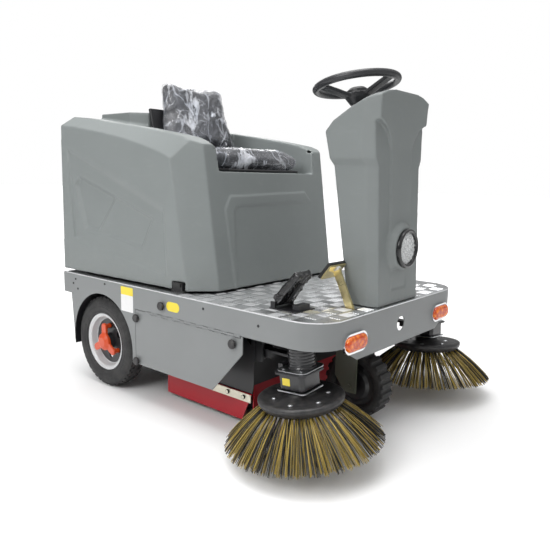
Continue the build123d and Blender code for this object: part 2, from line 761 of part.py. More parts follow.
def dash_place():
    """A frame on the sloping top of the head, in the middle of its rear half."""
    (rear_y, rear_z), (front_y, front_z) = dash_profile[1:3]
    slope = degrees(atan2(front_z - rear_z, rear_y - front_y))
    return Pos(0, (rear_y + front_y) / 2, (rear_z + front_z) / 2 + 0.4) * Rot(-slope, 0, 0)


def dash_panel():
    """A black panel with three lamps on the sloping top of the head, and the boot round the shaft."""
    place = dash_place()
    panel = place * (Pos(0, 0, 5) * Box(230, 72, 10))
    shaft_hole = tilted(steering_centre_y, steering_centre_z, steering_tilt) * Cylinder(31, 400)
    lamps = [place * Pos(x, -8, 10) * Cylinder(7, 6) for x in (-96, -70, 70)]
    boot = spun([(shaft_r + 1, -76), (17, -76), (29, -108), (29, -138), (shaft_r + 1, -138)])
    boot = tilted(steering_centre_y, steering_centre_z, steering_tilt) * boot
    return [panel - shaft_hole + lamps[0] + lamps[1] + lamps[2], boot]


def headlight_bezel():
    r = headlight_r
    front = headlight_front_y
    ring = spun([(r - 10, 0), (r + 2, 0), (r + 2, 8), (r - 2, 13), (r - 10, 10)])
    cup = spun([(0, -36), (r - 24, -36), (r - 4, -2), (r - 4, 1), (r - 10, 1), (r - 27, -32), (0, -32)])
    return Pos(0, front, headlight_z) * Rot(90, 0, 0) * (ring + cup)


def headlight_lens():
    r = headlight_r - 10 - touch_gap
    lens = spun([(0, 2), (r, 2), (r, 8), (r * 0.6, 12), (0, 14)])
    return Pos(0, headlight_front_y, headlight_z) * Rot(90, 0, 0) * lens


# ---- turn signals ----
def signal_base(side):
    y = deck_front_y
    outer = slot_y(signal_width, signal_height, y - 9, y, side * signal_x, signal_z)
    return outer - slot_y(signal_width - 12, signal_height - 12, y - 10, y - 2, side * signal_x, signal_z)


def signal_lens(side):
    y = deck_front_y
    lens = slot_y(signal_width - 13, signal_height - 13, y - 20, y - 2, side * signal_x, signal_z)
    return chamfer(lens.faces().sort_by(Axis.Y)[0].edges(), 6)


# ---- side brush ----
def brush_axis(side):
    """The frame of a side brush: its axis leans, so that the brush is lower at its outer rear edge."""
    lean = Rot(-side_brush_lean_x, side * side_brush_lean_y, 0)
    return Pos(side * side_brush_x, side_brush_y, side_brush_top_z) * lean * Pos(0, 0, -side_brush_top_z)


def side_brush_disc():
    top = side_brush_top_z
    r = side_brush_disc_r
    return spun([(0, top - 34), (r - 26, top - 34), (r - 8, top - 24), (r, top - 12), (r - 4, top - 2), (r - 12, top),
                 (r - 24, top - 4), (44, top + 2), (40, top + 12), (0, top + 12)])


def side_brush_bristles():
    """The cone of bristles that leaves the rim of the disc, hollow inside."""
    top = side_brush_top_z - 36
    root = side_brush_disc_r - 8
    tip = side_brush_tip_r
    low = side_brush_tip_z
    return spun([(root - 26, top), (root - 2, top), (root + 6, top + 8), (tip, low + 8), (tip - 4, low), (tip - 40, low),
                 (root - 34, top - 20)])


def side_brush_motor(side):
    """Gear box with the motor above it, in the leaning frame of the brush."""
    half = gearbox_half
    offset_x = -side * motor_inset
    gearbox = box(-half, half, -half, half, gearbox_bottom_z + 6, gearbox_top_z)
    gearbox = chamfer(gearbox.edges().filter_by(Axis.Z), 10)
    neck = rod_z(motor_r + 4, gearbox_top_z - 1, gearbox_top_z + 14, offset_x, 0)
    motor = rod_z(motor_r, gearbox_top_z + 13, motor_top_z - 8, offset_x, 0)
    cap = rod_z(motor_r - 14, motor_top_z - 9, motor_top_z, offset_x, 0)
    output = rod_z(20, side_brush_top_z + 13, gearbox_bottom_z + 7, 0, 0)
    return brush_axis(side) * (gearbox + neck + motor + cap + output)


def brush_arm(side):
    """Steel arm from the pivot on the frame to the gear box, with a collar plate round the motor."""
    y = side_brush_y
    pivot_x = side * arm_pivot_x
    beam_top = gearbox_top_z + 12
    reach = gearbox_half + 12
    inner = side * (arm_pivot_x - 16)
    outer = side * (side_brush_x + 20)
    x0 = min(inner, outer)
    x1 = max(inner, outer)
    arm = rod_x(14, pivot_x - 21, pivot_x + 21, arm_pivot_y, arm_pivot_z)
    arm += box(pivot_x - 16, pivot_x + 16, y + reach - 2, arm_pivot_y + 4, beam_top - 8, beam_top)
    arm += box(pivot_x - 16, pivot_x + 16, arm_pivot_y - 30, arm_pivot_y + 4, arm_pivot_z - 4, beam_top)
    collar = box(-reach, reach, -reach, reach, gearbox_top_z + touch_gap, gearbox_top_z + 6)
    collar = chamfer(collar.edges().filter_by(Axis.Z), 16)
    arm += brush_axis(side) * collar
    arm += box(x0, x1, y + reach - 2, y + reach + 14, gearbox_top_z - 10, beam_top)
    arm -= brush_axis(side) * rod_z(motor_r + 5, gearbox_top_z - 5, gearbox_top_z + 40, -side * motor_inset, 0)
    return arm - rod_x(6 + running_gap, pivot_x - 40, pivot_x + 40, arm_pivot_y, arm_pivot_z)


# ---- pedals ----
def accelerator_pedal():
    half = accelerator_width / 2
    place = Pos(accelerator_x, accelerator_heel_y, tread_top_z + 14) * Rot(-accelerator_angle, 0, 0)
    plate = place * box(-half, half, -accelerator_length, -4, -4, 6)
    barrel = rod_x(7, accelerator_x - half, accelerator_x + half, accelerator_heel_y, tread_top_z + 14)
    rib = place * box(-6, 6, -accelerator_length + 30, -10, -16, -3)
    pedal = plate + barrel + rib
    return pedal - rod_x(4 + running_gap, accelerator_x - half - 1, accelerator_x + half + 1, accelerator_heel_y,
                         tread_top_z + 14)


def accelerator_base():
    half = accelerator_width / 2
    x = accelerator_x
    y = accelerator_heel_y
    base = box(x - half - 8, x + half + 8, y - 92, y + 14, tread_top_z, tread_top_z + 4)
    for ear in (x - half - 8, x + half + 1):
        base += box(ear, ear + 7, y - 9, y + 9, tread_top_z + 3, tread_top_z + 24)
    sensor = box(x - 26, x + 26, y - 88, y - 62, tread_top_z + 3, tread_top_z + 20)
    pin = rod_x(4, x - half - 8, x + half + 8, y, tread_top_z + 14)
    return base + sensor + pin


def brake_pedal():
    """Flat bar through the slot in the deck, with a rubber pad on a small plate."""
    place = Pos(brake_x, brake_pivot_y, brake_pivot_z) * Rot(-brake_lean, 0, 0)
    bar = place * box(-4, 4, -13, 13, 0, 167)
    hub = rod_x(13, brake_x - 8, brake_x + 8, brake_pivot_y, brake_pivot_z)
    pad_plate = place * Pos(0, 12, 166) * Rot(-25, 0, 0) * box(-42, 42, -26, 30, -4, 2)
    return bar + hub + pad_plate - rod_x(6 + running_gap, brake_x - 20, brake_x + 20, brake_pivot_y, brake_pivot_z)


def brake_pad():
    place = Pos(brake_x, brake_pivot_y, brake_pivot_z) * Rot(-brake_lean, 0, 0)
    return place * Pos(0, 12, 166) * Rot(-25, 0, 0) * box(-45, 45, -29, 33, 2, 12)


def brake_bracket():
    x = brake_x
    y = brake_pivot_y
    z = brake_pivot_z
    bracket = rod_x(6, x - 20, x + 20, y, z)
    for ear in (x - 20, x + 12):
        bracket += box(ear, ear + 8, y - 14, y + 14, z - 14, rail_top_z)
    return bracket + box(x - 20, x + 20, deck_front_y + 20, y - 13.5, z + 10, rail_top_z)


# ---- body cover ----
def cover_plan(z, inset):
    rise = z - cover_bottom_z
    side = cover_side_half + 0.022 * rise - inset
    rear = cover_rear_half - 0.008 * rise - inset
    side_y = cover_side_y + 0.1675 * rise + inset * 0.4
    nose = cover_nose_y + cover_lean * rise + inset
    nose_half = cover_nose_half + 0.012 * rise - inset * 0.4
    back = cover_rear_y - inset
    return [(-rear, back), (-side, side_y), (-nose_half, nose), (nose_half, nose), (side, side_y), (rear, back)]


def cover_cross(y_side_ridge, inset):
    y, side_z, ridge_z = y_side_ridge
    slope = (ridge_z - side_z) / (430 - cover_ridge_half)
    low = side_z - slope * 20 - inset
    return [(-450, 400), (-450, low), (-cover_ridge_half + inset * 0.5, ridge_z - inset),
            (cover_ridge_half - inset * 0.5, ridge_z - inset), (450, low), (450, 400)]


def cover_block(inset, bottom):
    body = ruled([(bottom, cover_plan(bottom, inset)), (cover_top_z, cover_plan(cover_top_z, inset))], level)
    top = ruled([(row[0], cover_cross(row, inset)) for row in shoulder_line], station)
    return body & top


def hump_block(inset):
    half = hump_half_width - inset
    front = hump_front_y + inset
    rear = hump_rear_y - inset
    outline = [(-half, rear), (-half, front + 60), (-half + 50, front),
               (half - 50, front), (half, front + 60), (half, rear)]
    return prism_z(outline, 960, hump_top_z - inset)


def well_block(outset):
    """The seat well: open to the front above the lip, with sides that spread upwards."""
    half = well_half_width + outset
    rear = well_rear_y + outset
    floor = well_floor_z - outset
    front = -40
    body = ruled([(floor, [(-half + 12, front), (-half + 12, rear), (half - 12, rear), (half - 12, front)]),
                  (cover_top_z, [(-half - 12, front), (-half - 12, rear), (half + 12, rear), (half + 12, front)])], level)
    lip = box(-half - 20, half + 20, -120, 22 - outset, floor - 10, well_lip_z - outset)
    return body - lip


def well_mouth():
    """What is cut away in front of the seat, above the lip."""
    half = well_half_width
    return ruled([(-60, [(-half, well_lip_z), (half, well_lip_z), (half + 40, 1100), (-half - 40, 1100)]),
                  (30, [(-half, well_lip_z), (half, well_lip_z), (half + 14, 1100), (-half - 14, 1100)])], station)


def on_side_face(points, height):
    """A face on the right-hand side plane, turned to the +X side, from (y, z) points."""
    return side_face.offset(height) * polygon([(y - 350, z - 700) for y, z in points])


def side_pocket(edge, floor, top, depth):
    return loft([on_side_face(edge, top), on_side_face(floor, -depth)], ruled=True)


def side_backing(edge, depth):
    """The plastic that stays behind a pocket, one wall thick."""
    grown = offset(polygon([(y - 350, z - 700) for y, z in edge]), amount=cover_wall, kind=Kind.INTERSECTION)
    return extrude(side_face.offset(-depth - cover_wall) * grown, amount=depth + 30)


def front_band():
    """The raised band on the front of the cover, an upright leg that turns into a cross bar."""
    return prism_y([(-249, 437), (-262, 715), (-232, 760), (200, 770), (232, 736), (-205, 726), (-222, 700), (-241, 437)],
                   -140, 60)


def latch_notch(gap):
    return box(-450, -390, latch_front_y - gap, latch_rear_y + gap, cover_bottom_z - 1, latch_top_z + gap)


def side_surface_x(y, z):
    """Half width of the cover's side face at a point."""
    side_y = cover_side_y + 0.1675 * (z - cover_bottom_z)
    side = cover_side_half + 0.022 * (z - cover_bottom_z)
    rear = cover_rear_half - 0.008 * (z - cover_bottom_z)
    return side + (rear - side) * (y - side_y) / (cover_rear_y - side_y)


def body_cover():
    shell = cover_block(0, cover_bottom_z) + hump_block(0)
    shell += (cover_block(-4, cover_bottom_z) - cover_block(-0.5, cover_bottom_z)) & front_band()
    shell += cover_block(-1, cover_bottom_z) & front_band()
    hollow = cover_block(cover_wall, cover_bottom_z - 1) - well_block(cover_wall)
    pockets = [side_pocket(panel_edge, panel_floor, 4, panel_depth)]
    pockets.append(side_pocket(recess_edge, recess_floor, -panel_depth + 1, panel_depth + recess_depth))
    pockets.append(side_pocket(deep_edge, deep_floor, -panel_depth - recess_depth + 1, panel_depth + deep_recess_depth))
    backings = [side_backing(panel_edge, panel_depth), side_backing(recess_edge, panel_depth + recess_depth),
                side_backing(deep_edge, panel_depth + deep_recess_depth)]
    for backing in backings:
        hollow = hollow - backing - left_copy(backing)
    shell -= hollow
    shell -= hump_block(cover_wall) - well_block(cover_wall)
    shell -= well_block(0) + well_mouth()
    for pocket in pockets:
        shell = shell - pocket - left_copy(pocket)
    for notch in pair(latch_notch(1)):
        shell -= notch
    for x in (-cover_hinge_x, cover_hinge_x):
        for notch_x in (x - 42, x + 31):
            shell -= box(notch_x, notch_x + 11, cover_rear_y - 14, cover_rear_y + 3, cover_bottom_z - 1, cover_hinge_z + 15)
        knuckle = rod_x(8, x - 30, x + 30, cover_hinge_y, cover_hinge_z)
        knuckle += box(x - 30, x + 30, cover_hinge_y, cover_rear_y - 1, cover_hinge_z, cover_hinge_z + 8)
        shell += knuckle
        shell -= rod_x(cover_pin_r + running_gap, x - 31, x + 31, cover_hinge_y, cover_hinge_z)
    return shell


def cover_latch(side):
    """A rubber pull latch that stands in the notch at the lower edge of the cover."""
    outer = side_surface_x(45, 450) + 4
    strap = box(-outer, -outer + 12, latch_front_y + 6, latch_rear_y - 6, tread_top_z, latch_top_z)
    grip = box(-outer - 5, -outer + 6, latch_front_y + 12, latch_rear_y - 12, latch_top_z - 16, latch_top_z - 2)
    foot = box(-outer, -outer + 20, latch_front_y, latch_rear_y, tread_top_z, tread_top_z + 8)
    latch = strap + grip + foot
    return latch if side < 0 else left_copy(latch)


def cover_hinges():
    """Brackets on the chassis that carry the pins of the cover."""
    parts = []
    for x in (-cover_hinge_x, cover_hinge_x):
        bracket = box(x - 40, x + 40, cover_hinge_y - 24, cover_hinge_y - 10, deck_top_z, deck_top_z + 4)
        for ear in (x - 40, x + 32):
            bracket += box(ear, ear + 8, cover_hinge_y - 24, cover_hinge_y + 4, deck_top_z, cover_hinge_z + 5)
        parts.append(bracket + rod_x(cover_pin_r, x - 40, x + 40, cover_hinge_y, cover_hinge_z))
    return parts


# ---- what is under the cover ----
def battery_pack():
    width = 176
    return [box(x - width / 2, x + width / 2, 70, 330, tread_top_z, tread_top_z + 275) for x in (-273, -91, 91, 273)]


def dust_filter():
    return [box(-290, 290, 372, 660, tread_top_z, 566)]


def suction_fan():
    scroll = rod_z(120, 566, 640, 0, 520) + box(0, 150, 400, 470, 566, 640)
    return scroll + rod_z(60, 639, 720, 0, 520)


# ---- seat ----
def seat_cushion():
    cushion = box(-seat_half_width, seat_half_width, seat_front_y, seat_rear_y, seat_bottom_z, seat_top_z)
    cushion = fillet(cushion.edges().filter_by(Axis.Z), 45)
    return chamfer(cushion.faces().sort_by(Axis.Z)[-1].edges(), 14)


def seat_backrest():
    height = (backrest_top_z - 905) / cos(radians(backrest_lean))
    bottom = backrest_bottom_half
    top = backrest_top_half
    outline = [(-bottom, 0), (-top - 8, height - 40), (-top + 30, height),
               (top - 30, height), (top + 8, height - 40), (bottom, 0)]
    pad = prism_y(outline, -backrest_thickness, 0)
    return Pos(0, 405, 905) * Rot(-backrest_lean, 0, 0) * pad


def seat_frame():
    """The pan below the cushion, its two slides and the black shell behind the backrest."""
    pan = box(-200, 200, 14, seat_rear_y + 30, seat_bottom_z - 10, seat_bottom_z - touch_gap)
    for x in (-150, 150):
        pan += box(x - 12, x + 12, 90, seat_rear_y, well_floor_z + touch_gap, seat_bottom_z - 9)
    upright = box(-190, 190, seat_rear_y + 16, seat_rear_y + 30, seat_bottom_z - 10, 905)
    shell = Pos(0, 405 + touch_gap, 905) * Rot(-backrest_lean, 0, 0) * box(-204, 204, 0, 14, -10, 190)
    return pan + upright + shell + box(-190, 190, seat_rear_y + 20, 405 + 12, 893, 903)


def key_switch():
    """The key in its lock on the dash; it turns with its barrel."""
    place = dash_place() * Pos(96, -4, 10.4)
    return place * (rod_z(9, 0, 4, 0, 0) + box(-1.5, 1.5, -11, 11, 4, 26))


# ---- write every node ----
save("chassis_frame", chassis_frame())
save("deck_skirt", deck_skirt())
save("tread_plate", tread_plate())
save("brush_housing", brush_housing())
save("rubber_flaps", side_flap(-1), side_flap(1), cross_flaps())
save("flap_clamps", flap_clamp(-1), flap_clamp(1))
save("main_brush_core", main_brush_core())
save("main_brush_bristles", main_brush_bristles())
save("main_brush_motor", main_brush_motor())
save("hopper", hopper())
save("hopper_handle", hopper_handle())
for side, word in ((-1, "right"), (1, "left")):
    save(f"side_door_{word}", side_door(side))
    save(f"door_knobs_{word}", [star_knob(side, y, z) for y, z in ((226, 315), (226, 154), (-258, 316))])
    save(f"rear_tyre_{word}", wheel_place(side) * rear_tyre())
    save(f"rear_rim_{word}", wheel_place(side) * rear_rim())
    save(f"hub_spider_{word}", wheel_place(side) * hub_spider())
    save(f"brush_disc_{word}", brush_axis(side) * side_brush_disc())
    save(f"brush_bristles_{word}", brush_axis(side) * side_brush_bristles())
    save(f"brush_motor_{word}", side_brush_motor(side))
    save(f"brush_arm_{word}", brush_arm(side))
save("skirt_knobs", [star_knob(side, 85, 382) for side in (-1, 1)])
save("front_tyre", front_tyre())
save("front_hub_motor", front_hub_motor())
save("steering_fork", steering_fork())
save("fork_sprocket", fork_sprocket())
save("steering_chain", steering_chain())
save("steering_wheel", steering_wheel())
save("wheel_cap", wheel_cap())
save("steering_upper_shaft", steering_upper_shaft() + upper_ball())
save("steering_middle_shaft", steering_middle_shaft())
save("steering_lower_shaft", steering_lower_shaft())
save("column_shell", column_shell())
save("column_mast", column_mast())
save("dash_panel", dash_panel())
save("key_switch", key_switch())
save("headlight_bezel", headlight_bezel())
save("headlight_lens", headlight_lens())
save("signal_bases", signal_base(-1), signal_base(1))
save("signal_lenses", signal_lens(-1), signal_lens(1))
save("accelerator_pedal", accelerator_pedal())
save("accelerator_base", accelerator_base())
save("brake_pedal", brake_pedal())
save("brake_pad", brake_pad())
save("body_cover", body_cover())
save("cover_latches", cover_latch(-1), cover_latch(1))
save("battery_pack", battery_pack())
save("dust_filter", dust_filter())
save("suction_fan", suction_fan())
save("seat_cushion", seat_cushion())
save("seat_backrest", seat_backrest())
save("seat_frame", seat_frame())
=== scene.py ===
import json
import math

import bmesh
import bpy
import numpy as np
from mathutils import Matrix, Vector, noise


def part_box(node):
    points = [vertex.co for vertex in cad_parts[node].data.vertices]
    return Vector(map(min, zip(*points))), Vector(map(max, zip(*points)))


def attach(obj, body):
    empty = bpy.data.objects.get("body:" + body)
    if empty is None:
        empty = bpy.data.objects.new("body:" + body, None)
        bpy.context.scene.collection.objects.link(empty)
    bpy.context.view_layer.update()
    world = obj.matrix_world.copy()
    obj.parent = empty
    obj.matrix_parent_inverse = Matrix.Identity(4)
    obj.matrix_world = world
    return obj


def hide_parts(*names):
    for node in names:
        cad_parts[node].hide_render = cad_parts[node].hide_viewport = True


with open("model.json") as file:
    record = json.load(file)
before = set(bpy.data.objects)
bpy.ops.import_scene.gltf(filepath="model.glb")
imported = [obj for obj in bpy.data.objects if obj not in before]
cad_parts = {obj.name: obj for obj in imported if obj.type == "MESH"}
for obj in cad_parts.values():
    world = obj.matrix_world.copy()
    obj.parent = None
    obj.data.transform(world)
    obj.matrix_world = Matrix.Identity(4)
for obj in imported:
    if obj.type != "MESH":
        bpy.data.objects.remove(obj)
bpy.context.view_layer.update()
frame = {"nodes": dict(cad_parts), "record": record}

# %% [markdown]
# A ride-on sweeper. The steel parts, joints and outlines come from the engineering model, and
# every object here is in the same frame, in metres: the machine drives towards -Y and its
# right-hand side faces -X. This notebook gives each part its finish, and swaps the plain shapes
# that people look at (moulded covers, seat, brushes, tyres) for detailed ones.

# %% Sizes and shortcuts
nodes = frame["nodes"]
body_of_node = {node: body for body, group in frame["record"]["behaviour"]["bodies"].items()
                for node in group}
slot_of_node = {row["node"]: row["material_slot"] for row in frame["record"]["subparts"]}
rng = np.random.default_rng(7)
mm = 0.001

# %% [markdown]
# Finishes are drawn with shader nodes. Sums on surface values are easier to read as plain
# expressions, so a small class wraps a socket and turns + - * / and a few named steps into
# Math nodes. Everything else goes through one method that takes a node type, its settings
# and what is plugged into it.

# %% A socket that can do sums
class Wire:
    """One value on the surface. Arithmetic on it adds Math nodes to its finish."""

    def __init__(self, finish, socket):
        self.finish = finish
        self.socket = socket

    def math(self, operation, *values):
        return self.finish.node("ShaderNodeMath", {"operation": operation}, dict(enumerate(values)))

    def __add__(self, other):
        return self.math("ADD", self, other)

    def __sub__(self, other):
        return self.math("SUBTRACT", self, other)

    def __rsub__(self, other):
        return self.math("SUBTRACT", other, self)

    def __mul__(self, other):
        return self.math("MULTIPLY", self, other)

    def __truediv__(self, other):
        return self.math("DIVIDE", self, other)

    __radd__ = __add__
    __rmul__ = __mul__

    def over(self, edge, softness):
        """0 below the edge, 1 above it, with a soft step between."""
        return ((self - edge) / softness + 0.5).clip()

    def clip(self):
        return self.finish.node("ShaderNodeClamp", {}, {"Value": self})

    def abs(self):
        return self.math("ABSOLUTE", self)

    def power(self, exponent):
        return self.math("POWER", self, exponent)


# %% A finish and its nodes
class Finish:
    """A material with one main shader. Fixed values are set on the shader's own sockets."""

    def __init__(self, name, colour, roughness=0.5, metallic=0.0, **fixed):
        self.material = bpy.data.materials.new(name)
        self.material.use_nodes = True
        self.tree = self.material.node_tree
        self.shader = self.tree.nodes["Principled BSDF"]
        self.shader.inputs["Base Color"].default_value = (*colour, 1.0)
        self.shader.inputs["Roughness"].default_value = roughness
        self.shader.inputs["Metallic"].default_value = metallic
        for socket, value in fixed.items():
            self.shader.inputs[socket.replace("_", " ")].default_value = value
        self.material.diffuse_color = (*colour, 1.0)
        self.colour = colour
        self.place = self.node("ShaderNodeTexCoord", {}, {}, "Object")

    def node(self, kind, settings, inputs, output=0):
        made = self.tree.nodes.new(kind)
        for key, value in settings.items():
            if key == "stops":
                for spot, (position, shade) in zip(made.color_ramp.elements, value):
                    spot.position = position
                    spot.color = (*shade, 1.0)
            else:
                setattr(made, key, value)
        for key, value in inputs.items():
            if isinstance(value, Wire):
                self.tree.links.new(value.socket, made.inputs[key])
            else:
                made.inputs[key].default_value = value
        return Wire(self, made.outputs[output])

    def axis(self, letter):
        return self.node("ShaderNodeSeparateXYZ", {}, {0: self.place}, "XYZ".index(letter))

    def speckle(self, per_metre, detail=2.0, roughness=0.5, stretch=None):
        where = self.place
        if stretch:
            where = self.node("ShaderNodeVectorMath", {"operation": "MULTIPLY"}, {0: where, 1: stretch})
        return self.node("ShaderNodeTexNoise", {}, {
            "Vector": where, "Scale": per_metre, "Detail": detail, "Roughness": roughness})

    def cells(self, per_metre):
        """Distance to the nearest of many scattered points."""
        return self.node("ShaderNodeTexVoronoi", {}, {"Vector": self.place, "Scale": per_metre}, "Distance")

    def blend(self, mask, first, second):
        """A colour that goes from the first to the second with the mask."""
        picks = {0: mask}
        for index, colour in ((6, first), (7, second)):
            picks[index] = colour if isinstance(colour, Wire) else (*colour, 1.0)
        return self.node("ShaderNodeMix", {"data_type": "RGBA"}, picks, 2)

    def feed(self, socket, value):
        self.tree.links.new(value.socket, self.shader.inputs[socket])
        return self

    def relief(self, height, depth, strength=1.0):
        """Small relief, of that depth in metres where the height goes from 0 to 1."""
        return self.feed("Normal", self.node("ShaderNodeBump", {}, {
            "Height": height, "Distance": depth, "Strength": strength}, "Normal"))


def shade(colour, factor):
    return tuple(min(value * factor, 1.0) for value in colour)


print("finish tools ready")

# %% [markdown]
# Grey polyethylene covers are moulded in a textured tool. They show a fine grain, a soft gloss,
# a little dust in the lower part and faint lighter scuffs. The grain is a fine noise in the
# relief, and the scuffs and dust are slow noises that only nudge colour and roughness.

# %% Moulded plastic
def moulded_plastic(name, colour, roughness=0.48, grain=1.0):
    finish = Finish(name, colour, roughness, IOR=1.5)
    cloud = finish.speckle(7.0, 4.0, 0.6)
    fine = finish.speckle(900.0, 3.0, 0.7)
    scuff = finish.speckle(26.0, 5.0, 0.7, (1.0, 0.35, 1.6)).over(0.62, 0.12)
    low = 1.0 - finish.axis("Z").over(0.50, 0.14)
    tone = finish.blend(cloud, shade(colour, 0.93), shade(colour, 1.07))
    tone = finish.blend(scuff * 0.10, tone, shade(colour, 1.35))
    tone = finish.blend(low * finish.speckle(60.0, 4.0).over(0.5, 0.3) * 0.10, tone, (0.30, 0.28, 0.25))
    finish.feed("Base Color", tone)
    finish.feed("Roughness", roughness + (cloud - 0.5) * 0.16 + (fine - 0.5) * 0.14)
    return finish.relief(fine * 0.7 + finish.speckle(2600.0, 2.0) * 0.3, 0.00022 * grain, 0.55)


body_grey = moulded_plastic("moulded_grey", (0.215, 0.235, 0.233))
column_grey = moulded_plastic("moulded_grey_column", (0.200, 0.218, 0.216))
black_moulding = moulded_plastic("moulded_black", (0.018, 0.018, 0.020), 0.42, 0.7)
dark_moulding = moulded_plastic("moulded_dark", (0.030, 0.031, 0.034), 0.36, 0.5)

# %% [markdown]
# Painted sheet steel is smoother than plastic. A light orange-peel wave shows in the gloss, and
# lighter rubbed spots are scattered by a noise. The clear gloss is a coat with its own value.

# %% Paint on steel
def paint(name, colour, roughness=0.38, coat=0.25, wear=0.25):
    finish = Finish(name, colour, roughness, Coat_Weight=coat, Coat_Roughness=0.18)
    cloud = finish.speckle(5.0, 3.0)
    peel = finish.speckle(420.0, 2.0)
    rub = finish.speckle(85.0, 6.0, 0.75).over(0.70, 0.06)
    tone = finish.blend(cloud, shade(colour, 0.92), shade(colour, 1.08))
    finish.feed("Base Color", finish.blend(rub * wear, tone, shade(colour, 1.8)))
    finish.feed("Roughness", roughness + (cloud - 0.5) * 0.12 + rub * 0.15)
    return finish.relief(peel, 0.00012, 0.5)


skirt_grey = paint("paint_grey", (0.222, 0.232, 0.234), 0.46, 0.08)
frame_black = paint("paint_black", (0.016, 0.016, 0.018), 0.40, 0.15)
fork_green = paint("paint_grey_green", (0.105, 0.112, 0.080), 0.42, 0.15, 0.5)
rim_silver = paint("paint_silver", (0.62, 0.63, 0.64), 0.30, 0.35)
hub_orange = paint("paint_orange", (0.62, 0.062, 0.006), 0.34, 0.35)
motor_enamel = paint("paint_motor", (0.012, 0.012, 0.014), 0.30, 0.4)


# %% [markdown]
# Bare metals differ mainly in how rough they are and which way they are brushed. Zinc plate has
# a warm mottled look, rolled aluminium is bright with faint rolling lines, and chrome is almost
# a mirror.

# %% Metals
def metal(name, colour, roughness, stretch, per_metre, mottle=0.12):
    finish = Finish(name, colour, roughness, 1.0)
    line = finish.speckle(per_metre, 3.0, 0.6, stretch)
    patch = finish.speckle(45.0, 4.0, 0.6)
    finish.feed("Base Color", finish.blend(patch, shade(colour, 1 - mottle), shade(colour, 1 + mottle)))
    finish.feed("Roughness", roughness + (line - 0.5) * 0.16 + (patch - 0.5) * mottle)
    return finish.relief(line, 0.00006, 0.5)


tread_metal = metal("rolled_aluminium", (0.72, 0.73, 0.74), 0.30, (1.0, 14.0, 1.0), 60.0)
zinc_plate = metal("zinc_plate", (0.66, 0.63, 0.52), 0.34, (1.0, 1.0, 1.0), 300.0, 0.2)
yellow_zinc = metal("yellow_zinc", (0.80, 0.68, 0.36), 0.32, (1.0, 1.0, 8.0), 120.0, 0.22)
chrome_trim = metal("chrome", (0.86, 0.86, 0.87), 0.07, (1.0, 1.0, 1.0), 200.0, 0.03)
screw_steel = metal("screw_steel", (0.45, 0.46, 0.47), 0.30, (1.0, 1.0, 1.0), 400.0, 0.1)


# %% [markdown]
# Rubber scatters light softly and holds dust. Tyres get pale dust in a slow noise and fine
# moulding lines; the red flaps are smooth and slightly glossy.

# %% Rubber
def rubber(name, colour, roughness, dust):
    finish = Finish(name, colour, roughness)
    cloud = finish.speckle(22.0, 5.0, 0.65)
    fine = finish.speckle(1300.0, 2.0)
    tone = finish.blend(cloud.over(0.55, 0.3) * dust, colour, (0.16, 0.155, 0.145))
    finish.feed("Base Color", tone)
    finish.feed("Roughness", roughness + (cloud - 0.5) * 0.25)
    return finish.relief(fine, 0.00015, 0.5)


tyre_rubber = rubber("tyre_rubber", (0.012, 0.012, 0.013), 0.62, 0.22)
black_rubber = rubber("black_rubber", (0.011, 0.011, 0.012), 0.50, 0.15)
red_rubber = rubber("red_rubber", (0.42, 0.008, 0.018), 0.42, 0.04)
vinyl = rubber("seat_vinyl", (0.010, 0.010, 0.012), 0.40, 0.05)


# %% [markdown]
# Lamps are clear or amber plastic over a bright reflector. Real refraction needs many light
# bounces, so the lens stays a thin glossy skin with some see-through, and the reflector
# behind it does the sparkling.

# %% Lamp plastics
def lens_plastic(name, colour, roughness, alpha, per_metre):
    finish = Finish(name, colour, roughness, IOR=1.49, Coat_Weight=0.6, Coat_Roughness=0.03)
    swirl = finish.speckle(per_metre, 2.0)
    finish.feed("Base Color", finish.blend(swirl, shade(colour, 0.8), shade(colour, 1.15)))
    finish.feed("Alpha", alpha + (swirl - 0.5) * 0.1)
    return finish


amber_lens = lens_plastic("amber_lens", (0.85, 0.20, 0.008), 0.12, 0.93, 60.0)
clear_lens = lens_plastic("clear_lens", (0.86, 0.88, 0.89), 0.06, 0.42, 90.0)
bezel_gloss = paint("bezel_gloss", (0.010, 0.010, 0.011), 0.12, 0.6, 0.0)
print("finishes made:", len(bpy.data.materials))

# %% Which part gets which finish
finish_of_slot = {
    "grey_shell": body_grey, "grey_paint": skirt_grey, "black_frame": frame_black, "fork_paint": fork_green,
    "tread": tread_metal, "red_rubber": red_rubber, "zinc": zinc_plate, "motor_black": motor_enamel,
    "black_plastic": black_moulding, "black_rubber": black_rubber, "tyre": tyre_rubber,
    "rim_silver": rim_silver, "orange_hub": hub_orange, "bristle": black_rubber, "chrome_trim": chrome_trim,
    "amber_lens": amber_lens, "clear_lens": clear_lens, "black_bezel": bezel_gloss,
    "battery_case": dark_moulding, "seat_vinyl": vinyl}
special = {"column_shell": column_grey, "brake_pedal": yellow_zinc, "steering_wheel": dark_moulding}
for name, part in nodes.items():
    part.data.materials.clear()
    part.data.materials.append(special.get(name, finish_of_slot[slot_of_node[name]]).material)
print("parts finished:", len(nodes))

# %% [markdown]
# Detail pieces are meshes made in code. Each one needs the same things said about it: its
# finish, the moving body that it rides on, and the engineering parts that it stands in for,
# which are hidden. One helper says all of that.

# %% Adding a piece
def piece(name, mesh, finish, like, stands_for=(), smooth=True):
    """A new piece that rides with the part it is like."""
    if isinstance(mesh, bmesh.types.BMesh):
        built = bpy.data.meshes.new(name)
        mesh.to_mesh(built)
        mesh.free()
        mesh = built
    thing = bpy.data.objects.new(name, mesh)
    bpy.context.scene.collection.objects.link(thing)
    mesh.materials.clear()
    mesh.materials.append(finish.material)
    if smooth:
        mesh.shade_smooth()
    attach(thing, body_of_node[like])
    if stands_for:
        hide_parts(*stands_for)
    return thing


